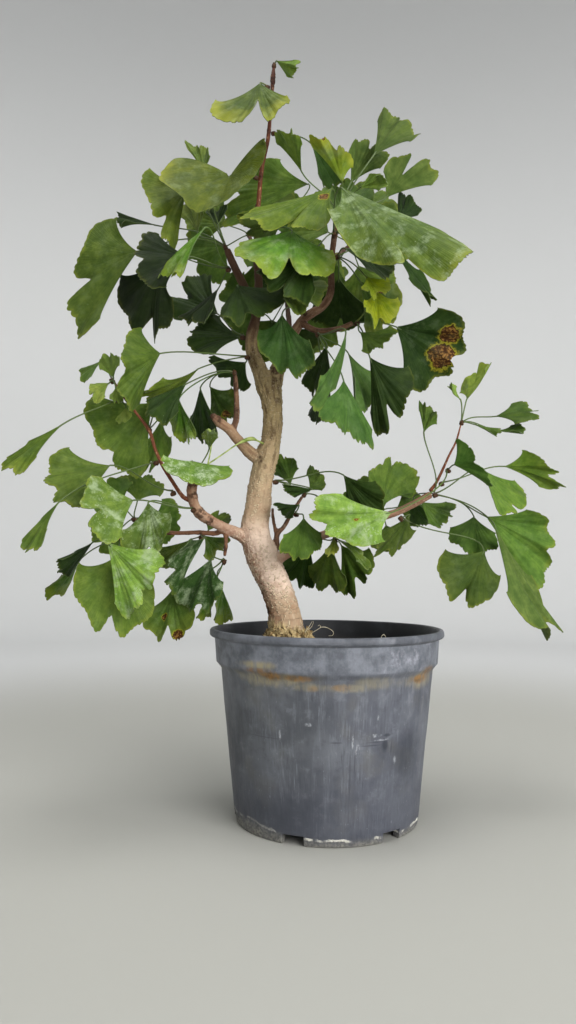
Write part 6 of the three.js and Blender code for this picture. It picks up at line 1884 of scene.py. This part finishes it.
def build_rootlets(settings):
    tubes = []
    for row in ROOTLETS:
        knots = np.array(row, float)
        share = np.linspace(0.0, len(knots) - 1.0, 8 * len(knots))
        smooth_row = np.stack([np.interp(share, range(len(knots)), knots[:, k]) for k in range(3)], axis=1)
        for _ in range(6):
            smooth_row[1:-1] = (smooth_row[:-2] + 2.0 * smooth_row[1:-1] + smooth_row[2:]) / 4.0
        widths = np.linspace(0.26, 0.12, len(smooth_row))
        tubes.append(tube("rootlet", smooth_row, widths, 8))
    obj = join(tubes, "rootlets")
    put_materials(obj, litter_material("rootlet", "bcae8c", settings.rootlet, 300.0))
    smooth(obj)
    return obj


class GINKGO_OT_soil(bpy.types.Operator):
    """Fill the pot with lumpy potting mix, and lay bark chips, dry flakes and rootlets on it"""

    bl_idname = "ginkgo.soil"
    bl_label = "Potting mix and litter"

    def execute(self, context):
        settings = context.scene.ginkgo_soil
        ridden(build_soil(settings), "potting_mix", "soil")
        for build in (build_chips, build_flakes, build_rootlets):
            ridden(build(settings), "potting_mix")
        return {"FINISHED"}


# ---------------- stage


def area_light(name, place, aim, size, power, tint):
    """A round soft light at a place, aimed at another, its power in watts."""
    deselect()
    bpy.ops.object.light_add(type="AREA", location=place)
    lamp = bpy.context.object
    lamp.name = name
    lamp.data.shape, lamp.data.size, lamp.data.energy, lamp.data.color = "DISK", size, power, tint
    lamp.rotation_euler = (Vector(aim) - Vector(place)).to_track_quat("-Z", "Y").to_euler()


BEND, BEND_STEPS = 0.5, 10  # radius of the sweep from floor to wall, in metres
WALL_HEIGHT = 2.2
CAMERA_PLACE = (-0.0317, -0.6323, 0.1998)
CAMERA_PITCH, CAMERA_ROLL, CAMERA_LENS = 4.08, -0.32, 26.9


class GINKGO_OT_stage(bpy.types.Operator):
    """Lay a plain pale floor that sweeps up to a wall all round, and set soft lights and the camera"""

    bl_idname = "ginkgo.stage"
    bl_label = "Stage"

    def execute(self, context):
        settings = context.scene.ginkgo_stage
        radius = settings.radius
        floor = new_primitive(
            bpy.ops.mesh.primitive_circle_add, "stage_floor", vertices=96, radius=radius, fill_type="NGON"
        )
        edit_rim(floor)
        reach, height = radius, 0.0
        for i in range(1, BEND_STEPS + 1):
            angle = radians(90.0 / BEND_STEPS * i)
            wide, high = radius + BEND * sin(angle), BEND * (1.0 - cos(angle))
            extrude(high - height, wide / reach)
            reach, height = wide, high
        extrude(WALL_HEIGHT)
        bpy.ops.object.mode_set(mode="OBJECT")
        floor.data.flip_normals()
        smooth(floor)
        material, nodes = new_material("stage_surface", 0.75, 0.2)
        away = nodes.vector("LENGTH", nodes.place())
        paper = away.span(0.45, 1.2).mix(settings.floor, settings.wall)
        _, _, z = nodes.place().split()
        # painted shade towards the top of the wall
        paper = z.span(0.7, 2.3).mix(paper, settings.top)
        nodes.feed(nodes.shader, Base_Color=paper)
        put_materials(floor, material)

        world = bpy.data.worlds.new("studio")
        world.use_nodes = True
        background = world.node_tree.nodes["Background"]
        background.inputs["Color"].default_value = (0.97, 0.98, 1.0, 1.0)
        background.inputs["Strength"].default_value = 0.5
        context.scene.world = world
        context.scene.view_settings.view_transform = "Standard"
        area_light("overhead_soft", (-0.15, -0.35, 1.7), (0, 0, 0.3), 1.1, 10, (1, 0.99, 0.97))
        area_light("front_soft", (0.95, -1.45, 0.6), (0, 0, 0.3), 1.5, 39, (1, 0.99, 0.98))
        area_light("backdrop_soft", (0, 0.1, 2.3), (0, 1.9, 0.4), 1.4, 14, (1, 1, 1))

        deselect()
        bpy.ops.object.camera_add(location=CAMERA_PLACE)
        camera = bpy.context.object
        camera.name = "main_camera"
        camera.rotation_euler = (radians(90.0 + CAMERA_PITCH), radians(CAMERA_ROLL), 0.0)
        camera.data.lens = CAMERA_LENS
        camera.data.clip_start = 0.02
        context.scene.camera = camera
        return {"FINISHED"}


# ---------------- panel


class GINKGO_PT_panel(bpy.types.Panel):
    """The steps that build the plant, in their order"""

    bl_idname = "GINKGO_PT_panel"
    bl_label = "Ginkgo Bonsai"
    bl_space_type = "VIEW_3D"
    bl_region_type = "UI"
    bl_category = "Ginkgo"

    def draw(self, context):
        for operator, group in STEPS:
            box = self.layout.box()
            box.operator(operator.bl_idname)
            settings = getattr(context.scene, group)
            for name in settings.bl_rna.properties.keys():
                if name not in ("rna_type", "name"):
                    box.prop(settings, name)


STEPS = (
    (GINKGO_OT_pot, "ginkgo_pot"),
    (GINKGO_OT_soil, "ginkgo_soil"),
    (GINKGO_OT_wood, "ginkgo_wood"),
    (GINKGO_OT_shoots, "ginkgo_wood"),
    (GINKGO_OT_leaves, "ginkgo_leaves"),
    (GINKGO_OT_stage, "ginkgo_stage"),
)
GROUPS = {
    "ginkgo_pot": GINKGO_PG_pot,
    "ginkgo_soil": GINKGO_PG_soil,
    "ginkgo_wood": GINKGO_PG_wood,
    "ginkgo_leaves": GINKGO_PG_leaves,
    "ginkgo_stage": GINKGO_PG_stage,
}
CLASSES = (*GROUPS.values(), *(operator for operator, _ in STEPS), GINKGO_PT_panel)


def register():
    for one in CLASSES:
        bpy.utils.register_class(one)
    for name, group in GROUPS.items():
        setattr(bpy.types.Scene, name, bpy.props.PointerProperty(type=group))


def unregister():
    for name in GROUPS:
        delattr(bpy.types.Scene, name)
    for one in reversed(CLASSES):
        bpy.utils.unregister_class(one)


def main():
    register()
    bpy.ops.ginkgo.pot()
    bpy.ops.ginkgo.soil()
    bpy.ops.ginkgo.wood()
    bpy.ops.ginkgo.shoots()
    bpy.ops.ginkgo.leaves()
    bpy.ops.ginkgo.stage()


if __name__ == "__main__":
    main()
